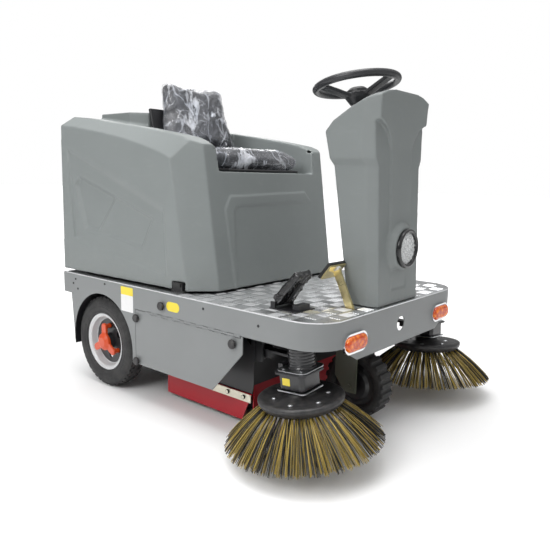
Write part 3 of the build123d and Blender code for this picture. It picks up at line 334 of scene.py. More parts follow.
def with_modifiers(mesh, steps):
    """A mesh after a list of modifiers, each a type and its settings."""
    helper = bpy.data.objects.new("helper", mesh)
    bpy.context.scene.collection.objects.link(helper)
    for kind, settings in steps:
        modifier = helper.modifiers.new(kind, kind)
        for key, value in settings.items():
            setattr(modifier, key, value)
    seen = helper.evaluated_get(bpy.context.evaluated_depsgraph_get())
    result = bpy.data.meshes.new_from_object(seen)
    bpy.data.objects.remove(helper)
    return result


# %% [markdown]
# Moulded plastic and rubber have no sharp edges. The engineering shapes are exact but sharp, so
# a copy is rebuilt from small voxels and relaxed, which rounds every edge by about the same
# radius, and is then thinned out where it is flat.

# %% Rounded copies
def welded(node):
    mesh = bmesh.new()
    mesh.from_mesh(nodes[node].data)
    bmesh.ops.remove_doubles(mesh, verts=mesh.verts, dist=0.01 * mm)
    clean = bpy.data.meshes.new(node + "_clean")
    mesh.to_mesh(clean)
    mesh.free()
    return clean


def relaxed(mesh, voxel, passes, keep):
    steps = [("REMESH", {"mode": "VOXEL", "voxel_size": voxel}),
             ("SMOOTH", {"factor": 0.5, "iterations": passes})]
    if keep < 1:
        steps.append(("DECIMATE", {"ratio": keep}))
    return with_modifiers(mesh, steps)


def rounded(node, finish, voxel, passes, keep):
    result = piece(node + "_moulded", relaxed(welded(node), voxel, passes, keep), finish, node, (node,))
    print(result.name, len(result.data.polygons), "faces")


def lathe(profile, steps, place=Matrix.Identity(4), mesh=None):
    """A turned shape about Z from (radius, height) points. Points at radius 0 close it."""
    mesh = mesh or bmesh.new()
    rings = []
    for radius, height in profile:
        if radius < 1e-6:
            rings.append([mesh.verts.new(place @ Vector((0, 0, height)))])
            continue
        rings.append([mesh.verts.new(place @ Vector((
            radius * math.cos(math.tau * i / steps), radius * math.sin(math.tau * i / steps), height)))
            for i in range(steps)])
    for low, high in zip(rings, rings[1:]):
        for i in range(steps):
            j = (i + 1) % steps
            corners = [low[i % len(low)], low[j % len(low)], high[j % len(high)], high[i % len(high)]]
            corners = list(dict.fromkeys(corners))
            if len(corners) > 2:
                mesh.faces.new(corners)
    return mesh


def profile_mm(*points):
    """A turned profile given in millimetres."""
    return [(radius * mm, height * mm) for radius, height in points]


def slab(mesh, place, bottom, top, height, base=0.0):
    """A low block with sloping sides: bottom and top are (half length, half width)."""
    corners = []
    for (a, b), z in ((bottom, base), (top, base + height)):
        corners.append([mesh.verts.new(place @ Vector((x, y, z)))
                        for x, y in ((-a, -b), (a, -b), (a, b), (-a, b))])
    low, high = corners
    mesh.faces.new(high)
    mesh.faces.new(low[::-1])
    for i in range(4):
        j = (i + 1) % 4
        mesh.faces.new((low[i], low[j], high[j], high[i]))


def at(x, y, z, turn_x=0.0, turn_y=0.0, turn_z=0.0):
    """A place in millimetres with turns in degrees, about X first, then Y, then Z."""
    turned = Matrix.Identity(4)
    for angle, axis in ((turn_z, "Z"), (turn_y, "Y"), (turn_x, "X")):
        turned = turned @ Matrix.Rotation(math.radians(angle), 4, axis)
    return Matrix.Translation(Vector((x, y, z)) * mm) @ turned


# %% [markdown]
# The tilting body cover and the steering column are rotation-moulded shells. Both keep their
# engineering shape with rounded edges.

# %% Cover and column
def closed_mouth(mesh):
    """The cover with a wall at both ends of the seat well, beside its open front."""
    joined = bmesh.new()
    joined.from_mesh(mesh)
    for side in (-1, 1):
        corners = [joined.verts.new(Vector((side * x, y, z)) * mm) for x, y, z in (
            (268.5, -9, 841), (275, -9, 841), (275, 45, 841), (268.5, 45, 841),
            (276.5, 4, 932), (283, 4, 932), (283, 45, 932), (276.5, 45, 932))]
        for face in ((0, 3, 2, 1), (4, 5, 6, 7), (0, 1, 5, 4), (1, 2, 6, 5), (2, 3, 7, 6), (3, 0, 4, 7)):
            joined.faces.new([corners[i] for i in face[::side]])
    result = bpy.data.meshes.new("body_cover_closed")
    joined.to_mesh(result)
    joined.free()
    return result


piece("body_cover_moulded", relaxed(closed_mouth(welded("body_cover")), 3.2 * mm, 12, 0.30), body_grey,
      "body_cover", ("body_cover",))
rounded("column_shell", column_grey, 2.6 * mm, 14, 0.35)
for node, finish, voxel, passes in (
        ("steering_wheel", dark_moulding, 2.2, 6), ("accelerator_pedal", black_moulding, 1.6, 5),
        ("brush_motor_right", motor_enamel, 2.2, 5), ("brush_motor_left", motor_enamel, 2.2, 5),
        ("brake_pad", black_rubber, 1.5, 4), ("seat_frame", black_moulding, 2.8, 6)):
    rounded(node, finish, voxel * mm, passes, 0.5)

# %% [markdown]
# The deck is five-bar tread sheet: small tiles of raised bars whose direction turns by a
# quarter from tile to tile. The bars catch the light one way or the other, so the sheet looks
# like rows of bright and dark bricks. They are real raised bars, left out where something
# stands on the deck.

# %% Tread bars
def tread_bars():
    mesh = bmesh.new()
    tile = 50 * mm
    pitch = tile / 6
    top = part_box("tread_plate")[1].z
    low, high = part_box("tread_plate")
    corner = 118 * mm
    column_half_width, column_front, column_rear = 132 * mm, -580 * mm, -430 * mm
    last_bar_y = 60 * mm
    count = 0
    for i in range(int((high.x - low.x) / tile) + 1):
        for j in range(int((high.y - low.y) / tile) + 1):
            cx = low.x + (i + 0.5) * tile
            cy = low.y + (j + 0.5) * tile + 6 * mm
            if abs(cx) > high.x - 0.5 * tile or cy > last_bar_y:
                continue
            beyond = Vector((max(abs(cx) - (high.x - corner), 0), max(low.y + corner - cy, 0)))
            if beyond.length > corner - 0.55 * tile and beyond.x > 0 and beyond.y > 0:
                continue
            if abs(cx) < column_half_width and column_front < cy < column_rear:
                continue
            quarter = 90 * ((i + j) % 2)
            for k in range(-2, 3):
                middle = at(cx / mm, cy / mm, top / mm - 0.2, turn_z=quarter)
                place = middle @ Matrix.Translation((0, k * pitch, 0))
                slab(mesh, place, (21 * mm, 2.9 * mm), (18.5 * mm, 1.2 * mm), 1.7 * mm)
                count += 1
    print("tread bars", count)
    return mesh


piece("deck_tread_bars", tread_bars(), tread_metal, "tread_plate", smooth=False)

# %% [markdown]
# A side brush is a dished plastic disc with a ring of bristle tufts set at an angle, black and
# straw yellow mixed. Each bristle is a thin tapering rod that bends down and outwards and ends
# near the floor. The tufts leave small gaps through which the far side shows, so the bristles
# are separate rods and not a painted cone.

# %% Bristles
bristle_black = rubber("bristle_black", (0.010, 0.010, 0.010), 0.45, 0.1)
bristle_straw = rubber("bristle_straw", (0.50, 0.36, 0.075), 0.45, 0.1)


def rod(mesh, points, thick, thin, sides=3):
    """A tapering rod through points."""
    last = None
    line = (points[-1] - points[0]).normalized()
    across = line.orthogonal().normalized()
    other = line.cross(across)
    for k, point in enumerate(points):
        radius = thick + (thin - thick) * k / (len(points) - 1)
        ring = [mesh.verts.new(point + (across * math.cos(math.tau * s / sides)
                                        + other * math.sin(math.tau * s / sides)) * radius)
                for s in range(sides)]
        if last:
            for s in range(sides):
                t = (s + 1) % sides
                mesh.faces.new((last[s], last[t], ring[t], ring[s]))
        else:
            mesh.faces.new(ring[::-1])
        last = ring
    mesh.faces.new(last)


brush_x, brush_y, disc_top = 408, -494.5, 204
lean_back, lean_outward = 4.6, 3.9


def brush_frame(side, height=disc_top):
    """The frame of a side brush, its axis leaning, at a height along that axis in millimetres."""
    return (at(side * brush_x, brush_y, disc_top) @ Matrix.Rotation(math.radians(-lean_back), 4, "X")
            @ Matrix.Rotation(math.radians(side * lean_outward), 4, "Y")
            @ Matrix.Translation((0, 0, (height - disc_top) * mm)))


def side_brush(word, side):
    place = brush_frame(side)
    reach = 240 * mm
    root_z = -24 * mm
    meshes = [bmesh.new(), bmesh.new()]
    tufts = 44
    for row, (root, tip, drop) in enumerate(((112, 1.0, 0), (98, 0.93, -2))):
        for tuft in range(tufts):
            around = math.tau * (tuft + 0.5 * row) / tufts
            straw_share = 0.46 if tuft % 2 == row else 0.40
            for _ in range(13):
                spread = rng.normal(0, 0.036)
                length = tip * (1 - abs(rng.normal(0, 0.025)))
                lean = around + spread + 0.05
                foot = around + spread * 0.22
                start = Vector((math.cos(foot), math.sin(foot), 0)) * (root * mm)
                end = Vector((math.cos(lean), math.sin(lean), 0)) * (reach * length)
                start.z = root_z - 2 * mm
                end.z = (-144 + drop + abs(rng.normal(0, 5))) * mm
                bow = Vector((end.x, end.y, 0)).normalized() * (4 * mm)
                points = []
                for k in range(5):
                    t = k / 4
                    point = start.lerp(end, t) + bow * math.sin(math.pi * t) * 0.8
                    point.z += 4 * mm * math.sin(math.pi * t)
                    points.append(place @ point)
                rod(meshes[int(rng.random() < straw_share)], points, 1.5 * mm, 1.0 * mm)
    like = "brush_bristles_" + word
    piece(f"side_brush_{word}_black", meshes[0], bristle_black, like, (like,))
    piece(f"side_brush_{word}_straw", meshes[1], bristle_straw, like)


side_brush("right", -1)
side_brush("left", 1)


# %% [markdown]
# The disc that holds the tufts is turned: a raised rim, a shallow dish and a hub with a brass
# bush and bolts.

# %% Side brush discs
brass = metal("brass", (0.62, 0.42, 0.14), 0.35, (1.0, 1.0, 1.0), 300.0, 0.2)
for word, side in (("right", -1), ("left", 1)):
    top = brush_frame(side, 216)
    profile = [(0, -46), (100, -46), (112, -44), (121, -38), (127, -30), (130, -22), (129, -16), (125, -13),
               (119, -12), (112, -14), (104, -18), (90, -20), (70, -17), (56, -12), (46, -10), (43, -4),
               (41, -1.5), (38, 0), (0, 0)]
    disc = lathe(profile_mm(*profile), 72, top)
    piece("brush_plate_" + word, disc, black_moulding, "brush_disc_" + word, ("brush_disc_" + word,))
    fixings = bmesh.new()
    for k in range(6):
        around = math.radians(60 * k + 15)
        spot = at(80 * math.cos(around), 80 * math.sin(around), -20)
        lathe(profile_mm((0, 0), (8, 0), (8, 3), (5.6, 5.5), (0, 5.5)), 6, top @ spot, fixings)
    piece("brush_plate_bolts_" + word, fixings, screw_steel, "brush_disc_" + word, smooth=False)
    collar = lathe(profile_mm((0, -1), (24, -1), (26, 1), (26, 4), (22, 5), (0, 5)), 40, top)
    piece("brush_hub_" + word, collar, brass, "brush_disc_" + word)


# %% [markdown]
# The wide cylinder brush under the deck has rows of bristles in a spiral. It only shows from
# below and from the side, through the gap above the red flaps.

# %% Cylinder brush
def cylinder_brush():
    low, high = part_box("main_brush_bristles")
    centre = (low + high) / 2
    reach = (high.z - low.z) / 2
    meshes = [bmesh.new(), bmesh.new()]
    columns = 52
    for row in range(12):
        for k in range(columns):
            x = low.x + (high.x - low.x) * (k + 0.5) / columns
            around = math.tau * row / 12 + 0.9 * math.sin(math.pi * (k + 0.5) / columns)
            for _ in range(4):
                a = around + rng.normal(0, 0.05)
                out = Vector((0, math.cos(a), math.sin(a)))
                drift = Vector((rng.normal(0, 3.5), 0, 0)) * mm
                start = Vector((x, centre.y, centre.z)) + out * (58 * mm) + drift * 0.4
                end = Vector((x, centre.y, centre.z)) + out * (reach * rng.uniform(0.965, 0.995)) + drift
                rod(meshes[int(rng.random() < 0.3)], [start, end], 1.4 * mm, 1.0 * mm)
    piece("cylinder_brush_black", meshes[0], bristle_black, "main_brush_bristles", ("main_brush_bristles",))
    piece("cylinder_brush_straw", meshes[1], bristle_straw, "main_brush_bristles")


cylinder_brush()
print("brushes done")

# %% [markdown]
# The seat is two foam pads in black vinyl, still in their loose clear delivery film. The pads
# are blown up from a slightly small block by a short cloth simulation with pressure, so they
# crown like foam under a tight cover. Each move is capped, so that the pad stays in its space.

# %% Stuffed pads
def stuffed(name, block, place, cap, like, stands_for):
    start = bmesh.new()
    bmesh.ops.create_cube(start, size=1.0)
    bmesh.ops.scale(start, verts=start.verts, vec=block)
    for corner in start.verts:
        if block[1] < block[2] and corner.co.z > 0:
            corner.co.x *= 0.80
    bmesh.ops.bevel(start, geom=start.edges[:], offset=min(block) * 0.38, segments=4, affect="EDGES",
                    profile=0.5)
    bmesh.ops.transform(start, matrix=place, verts=start.verts)
    solid = bpy.data.meshes.new(name + "_start")
    start.to_mesh(solid)
    start.free()
    mesh = relaxed(solid, 6 * mm, 4, 1.0)
    rest = np.array([v.co for v in mesh.vertices])
    puffed = bpy.data.objects.new(name + "_cloth", mesh)
    bpy.context.scene.collection.objects.link(puffed)
    cloth = puffed.modifiers.new("cloth", "CLOTH")
    cloth.settings.use_pressure = True
    cloth.settings.uniform_pressure_force = 4.0
    cloth.settings.effector_weights.gravity = 0.0
    cloth.settings.quality = 6
    for step in range(1, 21):
        bpy.context.scene.frame_set(step)
    seen = puffed.evaluated_get(bpy.context.evaluated_depsgraph_get()).data
    moved = np.array([v.co for v in seen.vertices]) - rest
    length = np.linalg.norm(moved, axis=1, keepdims=True)
    moved *= np.minimum(1.0, cap / np.maximum(length, 1e-9))
    mesh = mesh.copy()
    mesh.vertices.foreach_set("co", (rest + moved).astype(np.float32).ravel())
    bpy.data.objects.remove(puffed)
    bpy.context.scene.frame_set(1)
    print(name, "moved at most", round(float(np.linalg.norm(moved, axis=1).max()) * 1000, 1), "mm")
    mesh = with_modifiers(mesh, [("SMOOTH", {"factor": 0.5, "iterations": 4}), ("SUBSURF", {"levels": 1})])
    pad = piece(name, mesh, vinyl, like, stands_for)
    return pad


low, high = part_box("seat_cushion")
seat_centre = (low + high) / 2
puff_cap = 22 * mm
cushion = stuffed("seat_pad", (high.x - low.x - 24 * mm, high.y - low.y - 24 * mm, high.z - low.z - 20 * mm),
                  Matrix.Translation(seat_centre + Vector((0, 0, 1 * mm))), puff_cap,
                  "seat_cushion", ("seat_cushion",))
back_low, back_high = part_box("seat_backrest")
lean = math.radians(14)
back_place = Matrix.Translation((0, 405 * mm, 905 * mm)) @ Matrix.Rotation(-lean, 4, "X")
back_tall = (back_high.z - back_low.z) / math.cos(lean) - 16 * mm
backrest = stuffed("back_pad", (380 * mm, 52 * mm, back_tall - 26 * mm),
                   back_place @ Matrix.Translation((0, -36 * mm, back_tall / 2)), puff_cap,
                   "seat_backrest", ("seat_backrest",))


# %% [markdown]
# Loose film stands off the pads in long creases. Its shape is a grown copy of the pad, pushed
# out along the ridges of a noise. It is almost clear, but thin crease lines and loose patches
# are made white and less clear as painted highlights, so the see-through changes over it.

# %% Clear film
def ridges(finish, per_metre, stretch, width):
    """Thin wandering lines where a noise passes its middle value."""
    return 1.0 - ((finish.speckle(per_metre, 1.5, 0.5, stretch) - 0.5).abs() / width).clip()


def film_finish():
    finish = Finish("clear_film", (0.86, 0.88, 0.93), 0.09, IOR=1.5, Coat_Weight=1.0, Coat_Roughness=0.05)
    # The crease lines and the bright patches are painted highlights: they turn the film white and less clear
    # wherever they lie.
    long_crease_highlight = ridges(finish, 13.0, (1.0, 0.7, 0.45), 0.022)
    cross_crease_highlight = ridges(finish, 17.0, (0.5, 1.0, 0.9), 0.014)
    small_crease_highlight = ridges(finish, 48.0, (1.0, 0.7, 0.6), 0.035)
    patch = finish.speckle(9.0, 3.0, 0.6, (1.0, 0.8, 0.6)).over(0.545, 0.05)
    glare = patch * finish.speckle(29.0, 4.0, 0.7, (1.0, 0.6, 0.4)).over(0.44, 0.10)
    haze = finish.speckle(6.0, 2.0, 0.5, (1.0, 0.8, 0.5)) * 0.30
    # The film's own faint haze plus the painted highlights of the creases and patches.
    cover = haze + long_crease_highlight * 0.40 + cross_crease_highlight * 0.24 + small_crease_highlight * 0.12 + glare * 0.70
    finish.feed("Alpha", cover.clip())
    finish.feed("Base Color", finish.blend(finish.speckle(14.0, 2.0), (0.50, 0.55, 0.66), (0.97, 0.97, 0.99)))
    return finish.relief(finish.speckle(13.0, 1.5, 0.5, (1.0, 0.7, 0.45)), 0.02, 0.8)


clear_film = film_finish()


def film_over(name, pad, stand_off, ruffle, like, flare):
    grown = pad.data.copy()
    count = len(grown.vertices)
    spots = np.empty(count * 3, np.float32)
    normals = np.empty(count * 3, np.float32)
    grown.vertices.foreach_get("co", spots)
    grown.vertices.foreach_get("normal", normals)
    spots, normals = spots.reshape(-1, 3), normals.reshape(-1, 3)
    grown.vertices.foreach_set("co", (spots + normals * stand_off).ravel())
    mesh = relaxed(grown, 5 * mm, 2, 1.0)
    low_z = min(v.co.z for v in mesh.vertices)
    high_z = max(v.co.z for v in mesh.vertices)
    for vertex in mesh.vertices:
        here = Vector((vertex.co.x, vertex.co.y * 0.7, vertex.co.z * 0.45))
        ridge = max(0.0, 1 - abs(noise.noise(here * 15.0)) * 7)
        ridge += 0.4 * max(0.0, 1 - abs(noise.noise(here * 44.0)) * 5)
        lower = 1 - (vertex.co.z - low_z) / (high_z - low_z)
        fold = 0.5 + 0.5 * math.sin(vertex.co.x * 95 + vertex.co.y * 70)
        vertex.co += vertex.normal * (ridge * ruffle + flare * fold * max(0.0, lower - 0.72) * 3)
        vertex.co.z = max(vertex.co.z, low_z)
    print(name, len(mesh.polygons), "faces")
    return piece(name, mesh, clear_film, like)


film_over("seat_film", cushion, 3 * mm, 5.5 * mm, "seat_cushion", 10 * mm)
film_over("back_film", backrest, 3 * mm, 7.0 * mm, "seat_backrest", 14 * mm)

# %% [markdown]
# A small pneumatic tyre has a bulging sidewall with raised rings, a rounded shoulder and rows of
# tread blocks. It is turned from a profile, and the blocks are set round it.

# %% Rear tyres
def rear_tyre(word, side):
    low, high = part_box("rear_tyre_" + word)
    centre = (low + high) / 2
    place = at(centre.x / mm, centre.y / mm, centre.z / mm, turn_y=90 * side)
    half_profile = [(108, 27), (113, 33), (116, 36), (120, 37.4), (123, 36.6), (127, 37.6), (133, 39),
                    (139, 39.6), (141, 38.8), (143, 39.6), (151, 39), (158.5, 37), (164, 34.4), (169, 30),
                    (172.5, 25), (173.5, 18), (174, 12), (171, 11), (171, 8), (174, 7)]
    other_half = [(r, -h) for r, h in half_profile[::-1]]
    mesh = lathe(profile_mm(*half_profile, *other_half, half_profile[0]), 120, place)
    blocks = 44
    for k in range(blocks):
        for row, shift in ((24.0, 0), (14.5, 0.5), (-14.5, 0), (-24.0, 0.5)):
            around = 360 * (k + shift) / blocks
            outer = abs(row) > 20
            foot = 172.4 if outer else 173.4
            tip = 3.2 if outer else 4.0
            shoulder = math.copysign(8, row) if outer else 0
            spot = place @ at(0, 0, row, turn_z=around) @ at(foot, 0, 0, turn_y=90 - shoulder)
            half_wide = 9.0 if outer else 9.4
            slab(mesh, spot, (5.6 * mm, half_wide * mm), (4.4 * mm, 7.6 * mm), tip * mm, -0.6 * mm)
    bmesh.ops.remove_doubles(mesh, verts=mesh.verts, dist=0.01 * mm)
    bmesh.ops.recalc_face_normals(mesh, faces=mesh.faces)
    like = "rear_tyre_" + word
    piece("rear_tyre_tread_" + word, mesh, tyre_rubber, like, (like,), smooth=False)
    ring = [(98, 25.0), (111.4, 25.0), (113.6, 27.4), (113.4, 30.6), (110.6, 32.4), (106.4, 32.0),
            (103.4, 29.6), (101.4, 26.6), (98, 26.2)]
    lip = lathe(profile_mm(*ring, ring[0]), 96, place)
    bmesh.ops.remove_doubles(lip, verts=lip.verts, dist=0.01 * mm)
    piece("rim_lip_" + word, lip, rim_silver, "rear_rim_" + word)


rear_tyre("right", -1)
rear_tyre("left", 1)
rounded("front_tyre", tyre_rubber, 2.2 * mm, 4, 0.5)


# %% [markdown]
# A bent black sheet lines each wheel arch from the wheel plate to the skirt.

# %% Wheel arch liners
wheel_y, wheel_z = 454, 178
liner_inner_x, liner_outer_x = 351, 446
liner_radius, liner_thick = 195, 2.5


def arch_liner(mesh, side):
    last = None
    steps = 48
    liner_top = liner_radius + liner_thick
    for k in range(steps + 1):
        around = math.radians(-12 + 204 * k / steps)
        ring = [mesh.verts.new((side * x * mm, (wheel_y + r * math.cos(around)) * mm,
                                (wheel_z + r * math.sin(around)) * mm))
                for x, r in ((liner_inner_x, liner_radius), (liner_outer_x, liner_radius),
                             (liner_outer_x, liner_top), (liner_inner_x, liner_top))]
        if last:
            for s in range(4):
                t = (s + 1) % 4
                mesh.faces.new((last[s], last[t], ring[t], ring[s]))
        else:
            mesh.faces.new(ring[::-1])
        last = ring
    mesh.faces.new(last)


liners = bmesh.new()
arch_liner(liners, -1)
arch_liner(liners, 1)
bmesh.ops.recalc_face_normals(liners, faces=liners.faces)
piece("arch_liners", liners, frame_black, "chassis_frame", smooth=False)


# %% [markdown]
# The pressed wheel is silver at its rim and black in the deep disc behind the orange hub. The
# change of paint follows the distance from the axle.

# %% Wheel discs
rim_low, rim_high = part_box("rear_rim_right")
axle = (rim_low + rim_high) / 2
silver, disc_black = (0.62, 0.63, 0.64), (0.016, 0.016, 0.018)
dark_radius = 0.0885
two_tone = Finish("rim_two_tone", silver, 0.30, Coat_Weight=0.35, Coat_Roughness=0.15)
from_axle = ((two_tone.axis("Y") - axle.y).power(2.0) + (two_tone.axis("Z") - axle.z).power(2.0)).power(0.5)
dark_zone = 1.0 - from_axle.over(dark_radius, 0.003)
two_tone.feed("Base Color", two_tone.blend(dark_zone, silver, disc_black))
two_tone.feed("Roughness", 0.30 + dark_zone * 0.15)
two_tone.relief(two_tone.speckle(420.0, 2.0), 0.00012, 0.5)
for word in ("right", "left"):
    nodes["rear_rim_" + word].data.materials[0] = two_tone.material
    rounded("hub_spider_" + word, hub_orange, 1.6 * mm, 5, 0.5)
print("wheels done")

# %% [markdown]
# Small things tell the eye how big the machine is: screws in the skirt, blank stickers
# and bolts with sockets on the flap clamps. The stickers are plain, a coloured head over
# white, with no print.

# %% Screws and bolts
skirt_half_width = 450


def on_side(side, y, z, out=0.0):
    """A place on the skirt's side, its Z axis pointing outwards."""
    return at(side * (skirt_half_width + out), y, z, turn_y=90 * side)



skirt_screws = bmesh.new()
for side in (-1, 1):
    for y, z in ((626, 407), (643, 388), (612, 369), (426, 413), (-359, 391), (-120, 405)):
        lathe(profile_mm((4.6, -0.4), (4.6, 0.8), (3.6, 2.0), (1.9, 2.3), (1.7, 1.2), (0, 1.2)),
              18, on_side(side, y, z), skirt_screws)
piece("skirt_screws", skirt_screws, motor_enamel, "deck_skirt")

clamp_bolts = bmesh.new()
clamp_low, clamp_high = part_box("flap_clamps")
first_bolt, bolt_pitch = 32, 74
for side in (-1, 1):
    for k in range(6):
        place = at(side * (clamp_high.x / mm - 5.2), clamp_low.y / mm + first_bolt + bolt_pitch * k, 103,
                   turn_y=90 * side)
        lathe(profile_mm((7.4, 0), (7.6, 3), (7.0, 5.0), (3.6, 5.2), (3.4, 2.4), (0, 2.4)),
              20, place, clamp_bolts)
piece("flap_clamp_bolts", clamp_bolts, motor_enamel, "flap_clamps")


# %% Stickers
def sticker_finish(name, colour):
    finish = Finish(name, colour, 0.35, Coat_Weight=0.4, Coat_Roughness=0.2)
    cloud = finish.speckle(35.0, 3.0)
    finish.feed("Base Color", finish.blend(cloud, shade(colour, 0.90), shade(colour, 1.04)))
    return finish.relief(finish.speckle(150.0, 2.0), 0.0002, 0.4)


yellow_label = sticker_finish("sticker_yellow", (0.86, 0.68, 0.03))
white_label = sticker_finish("sticker_white", (0.80, 0.80, 0.80))


def plate_on(mesh, place, half_long, half_high, thick, corner=3 * mm, steps=5):
    """A thin plate with rounded corners, in the XY plane of its place."""
    ring = []
    for cx, cy, start in ((1, 1, 0), (-1, 1, 90), (-1, -1, 180), (1, -1, 270)):
        for s in range(steps + 1):
            a = math.radians(start + 90 * s / steps)
            ring.append((cx * (half_long - corner) + corner * math.cos(a),
                         cy * (half_high - corner) + corner * math.sin(a)))
    low = [mesh.verts.new(place @ Vector((x, y, 0))) for x, y in ring]
    high = [mesh.verts.new(place @ Vector((x * 0.995, y * 0.995, thick))) for x, y in ring]
    mesh.faces.new(high)
    mesh.faces.new(low[::-1])
    for i in range(len(ring)):
        j = (i + 1) % len(ring)
        mesh.faces.new((low[i], low[j], high[j], high[i]))


head = bmesh.new()
sheet_white = bmesh.new()
badge = bmesh.new()
for side in (-1, 1):
    plate_on(head, on_side(side, 287, 405, 0.1), 15 * mm, 36 * mm, 0.5 * mm)
    plate_on(sheet_white, on_side(side, 287, 359, 0.05), 31 * mm, 36 * mm, 0.4 * mm)
    plate_on(badge, on_side(side, 30, 386, 0.05), 16.5 * mm, 33 * mm, 0.5 * mm, 16 * mm, 10)
piece("sticker_heads", head, yellow_label, "deck_skirt", smooth=False)
piece("sticker_sheets", sheet_white, white_label, "deck_skirt", smooth=False)
piece("sticker_badges", badge, yellow_label, "deck_skirt", smooth=False)

# %% [markdown]
# Each side brush has a worm gear box below its motor. A bright zinc plate under it carries
# the brush, a second one clamps the motor, and a small yellow sticker marks the box. The
# motor stands a little further in than the brush, and its case has raised rings.

# %% Gear box plates
motor_inset = 18
for word, side in (("right", -1), ("left", 1)):
    plates = bmesh.new()
    plate_on(plates, brush_frame(side, 222.5), 52 * mm, 52 * mm, 3.5 * mm, 12 * mm)
    plate_on(plates, brush_frame(side, 281.0) @ at(-side * 9, 0, 0), 56 * mm, 53 * mm, 3.0 * mm, 20 * mm)
    for around in range(45, 360, 90):
        spot = at(45 * math.cos(math.radians(around)), 45 * math.sin(math.radians(around)), 0)
        lathe(profile_mm((0, 0), (5, 0), (5, 4), (0, 4)), 6, brush_frame(side, 283.5) @ spot, plates)
    piece("gear_box_plates_" + word, plates, screw_steel, "brush_arm_" + word, smooth=False)
    mark = bmesh.new()
    plate_on(mark, brush_frame(side, 252.0) @ at(side * 46.2, 14, 0, turn_y=90 * side),
             11 * mm, 14 * mm, 0.5 * mm, 2 * mm)
    piece("gear_box_mark_" + word, mark, yellow_label, "brush_motor_" + word, smooth=False)
    ribs = bmesh.new()
    for level in (296, 305, 314, 323, 332):
        lathe(profile_mm((39.0, -1.6), (41.6, -1.2), (41.6, 1.2), (39.0, 1.6)), 48,
              brush_frame(side, level) @ at(-side * motor_inset, 0, 0), ribs)
    piece("motor_ribs_" + word, ribs, motor_enamel, "brush_motor_" + word)

# %% [markdown]
# The headlamp is a clear moulded lens over a bright bowl. The lens is split into small domes
# in rings, which is what makes it sparkle in patches.

# %% Headlamp
lamp_low, lamp_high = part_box("headlight_lens")
lamp_centre = (lamp_low + lamp_high) / 2
lamp_front = Matrix.Translation((lamp_centre.x, lamp_high.y, lamp_centre.z))
lamp_place = lamp_front @ Matrix.Rotation(math.radians(90), 4, "X")
bowl_chrome = metal("bowl_chrome", (0.90, 0.91, 0.92), 0.12, (1.0, 1.0, 1.0), 120.0, 0.05)
bowl = lathe(profile_mm((50.5, 0.5), (46, -2), (38, -12), (22, -24), (6, -27), (0, -27)), 24, lamp_place)
piece("lamp_bowl", bowl, bowl_chrome, "headlight_bezel", smooth=False)
lens = bmesh.new()
lathe(profile_mm((0, 4), (20, 4), (50.8, 2), (51.4, 0), (0, 0)), 48, lamp_place, lens)
for radius, count, size in ((0, 1, 9.5), (16.5, 6, 7.8), (30, 12, 7.2), (43, 18, 7.0)):
    for k in range(count):
        around = 360 * (k + 0.25 * (count % 4)) / count
        dome = lamp_place @ at(0, 0, 0, turn_z=around) @ at(radius, 0, 3.4 - radius * 0.035)
        lathe(profile_mm((size, 0), (size * 0.8, 2.4), (size * 0.45, 4.0), (0, 4.6)), 8, dome, lens)
piece("lamp_lens", lens, clear_lens, "headlight_lens", ("headlight_lens",), smooth=False)
ring = [(50.6, 1), (51.6, 5), (53.4, 9.5), (56.6, 11.8), (60.4, 11.2), (63.4, 8.0), (64.2, 3),
        (64.2, 1), (50.6, 1)]
piece("lamp_rim", lathe(profile_mm(*ring), 72, lamp_place), bezel_gloss, "headlight_bezel")

# %% [markdown]
# The turn signals are ribbed amber lenses in a bright rim. The ribs run up and down.

# %% Turn signals
def obround(half_long, half_high):
    ring = []
    steps = 14
    flat = half_long - half_high
    for sign, start in ((1, -90), (-1, 90)):
        for s in range(steps + 1):
            a = math.radians(start + 180 * s / steps)
            ring.append((sign * flat + half_high * math.cos(a), half_high * math.sin(a)))
    return ring


def stacked(mesh, place, layers):
    """Obrounds stacked along Z, each (half length, half height, height), closed at the top."""
    last = None
    for half_long, half_high, height in layers:
        ring = [mesh.verts.new(place @ Vector((x, y, height))) for x, y in obround(half_long, half_high)]
        if last:
            for i in range(len(ring)):
                j = (i + 1) % len(ring)
                mesh.faces.new((last[i], last[j], ring[j], ring[i]))
        last = ring
    mesh.faces.new(last)


signal_low, signal_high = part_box("signal_lenses")
lens_mesh = bmesh.new()
rib_mesh = bmesh.new()
for side in (-1, 1):
    place = at(side * 285, signal_high.y / mm, (signal_low.z + signal_high.z) / 2 / mm, turn_x=90)
    stacked(lens_mesh, place, [(v[0] * mm, v[1] * mm, v[2] * mm) for v in (
        (56, 24.5, 0), (56, 24.5, 8), (54.5, 23, 12), (51, 19.5, 15), (46, 14.5, 16.6), (38, 7, 17.2))])
    for k in range(-5, 6):
        reach = 17 - abs(k) * 0.9
        slab(rib_mesh, place @ at(k * 8.2, 0, 14.4), (2.9 * mm, reach * mm),
             (0.8 * mm, (reach - 2) * mm), 3.6 * mm)
amber = Finish("amber_moulding", (0.90, 0.20, 0.004), 0.16, IOR=1.49, Coat_Weight=0.8, Coat_Roughness=0.04)
# Amber is brighter near the middle of small cells and darker between them: painted glints and shade, standing
# for light from the reflector behind the lens.
painted_sparkle = amber.cells(70.0).over(0.42, 0.5)
amber.feed("Base Color", amber.blend(painted_sparkle, (0.95, 0.24, 0.006), (0.62, 0.06, 0.001)))
amber.relief(amber.speckle(160.0, 2.0), 0.0008, 0.6)
piece("signal_lens_mouldings", lens_mesh, amber, "signal_lenses", ("signal_lenses",))
piece("signal_lens_ribs", rib_mesh, amber, "signal_lenses", smooth=False)

# %% [markdown]
# The accelerator is still wrapped in black film, like the seat. The wrap is a loose skin round
# the pedal with creases that run along it.

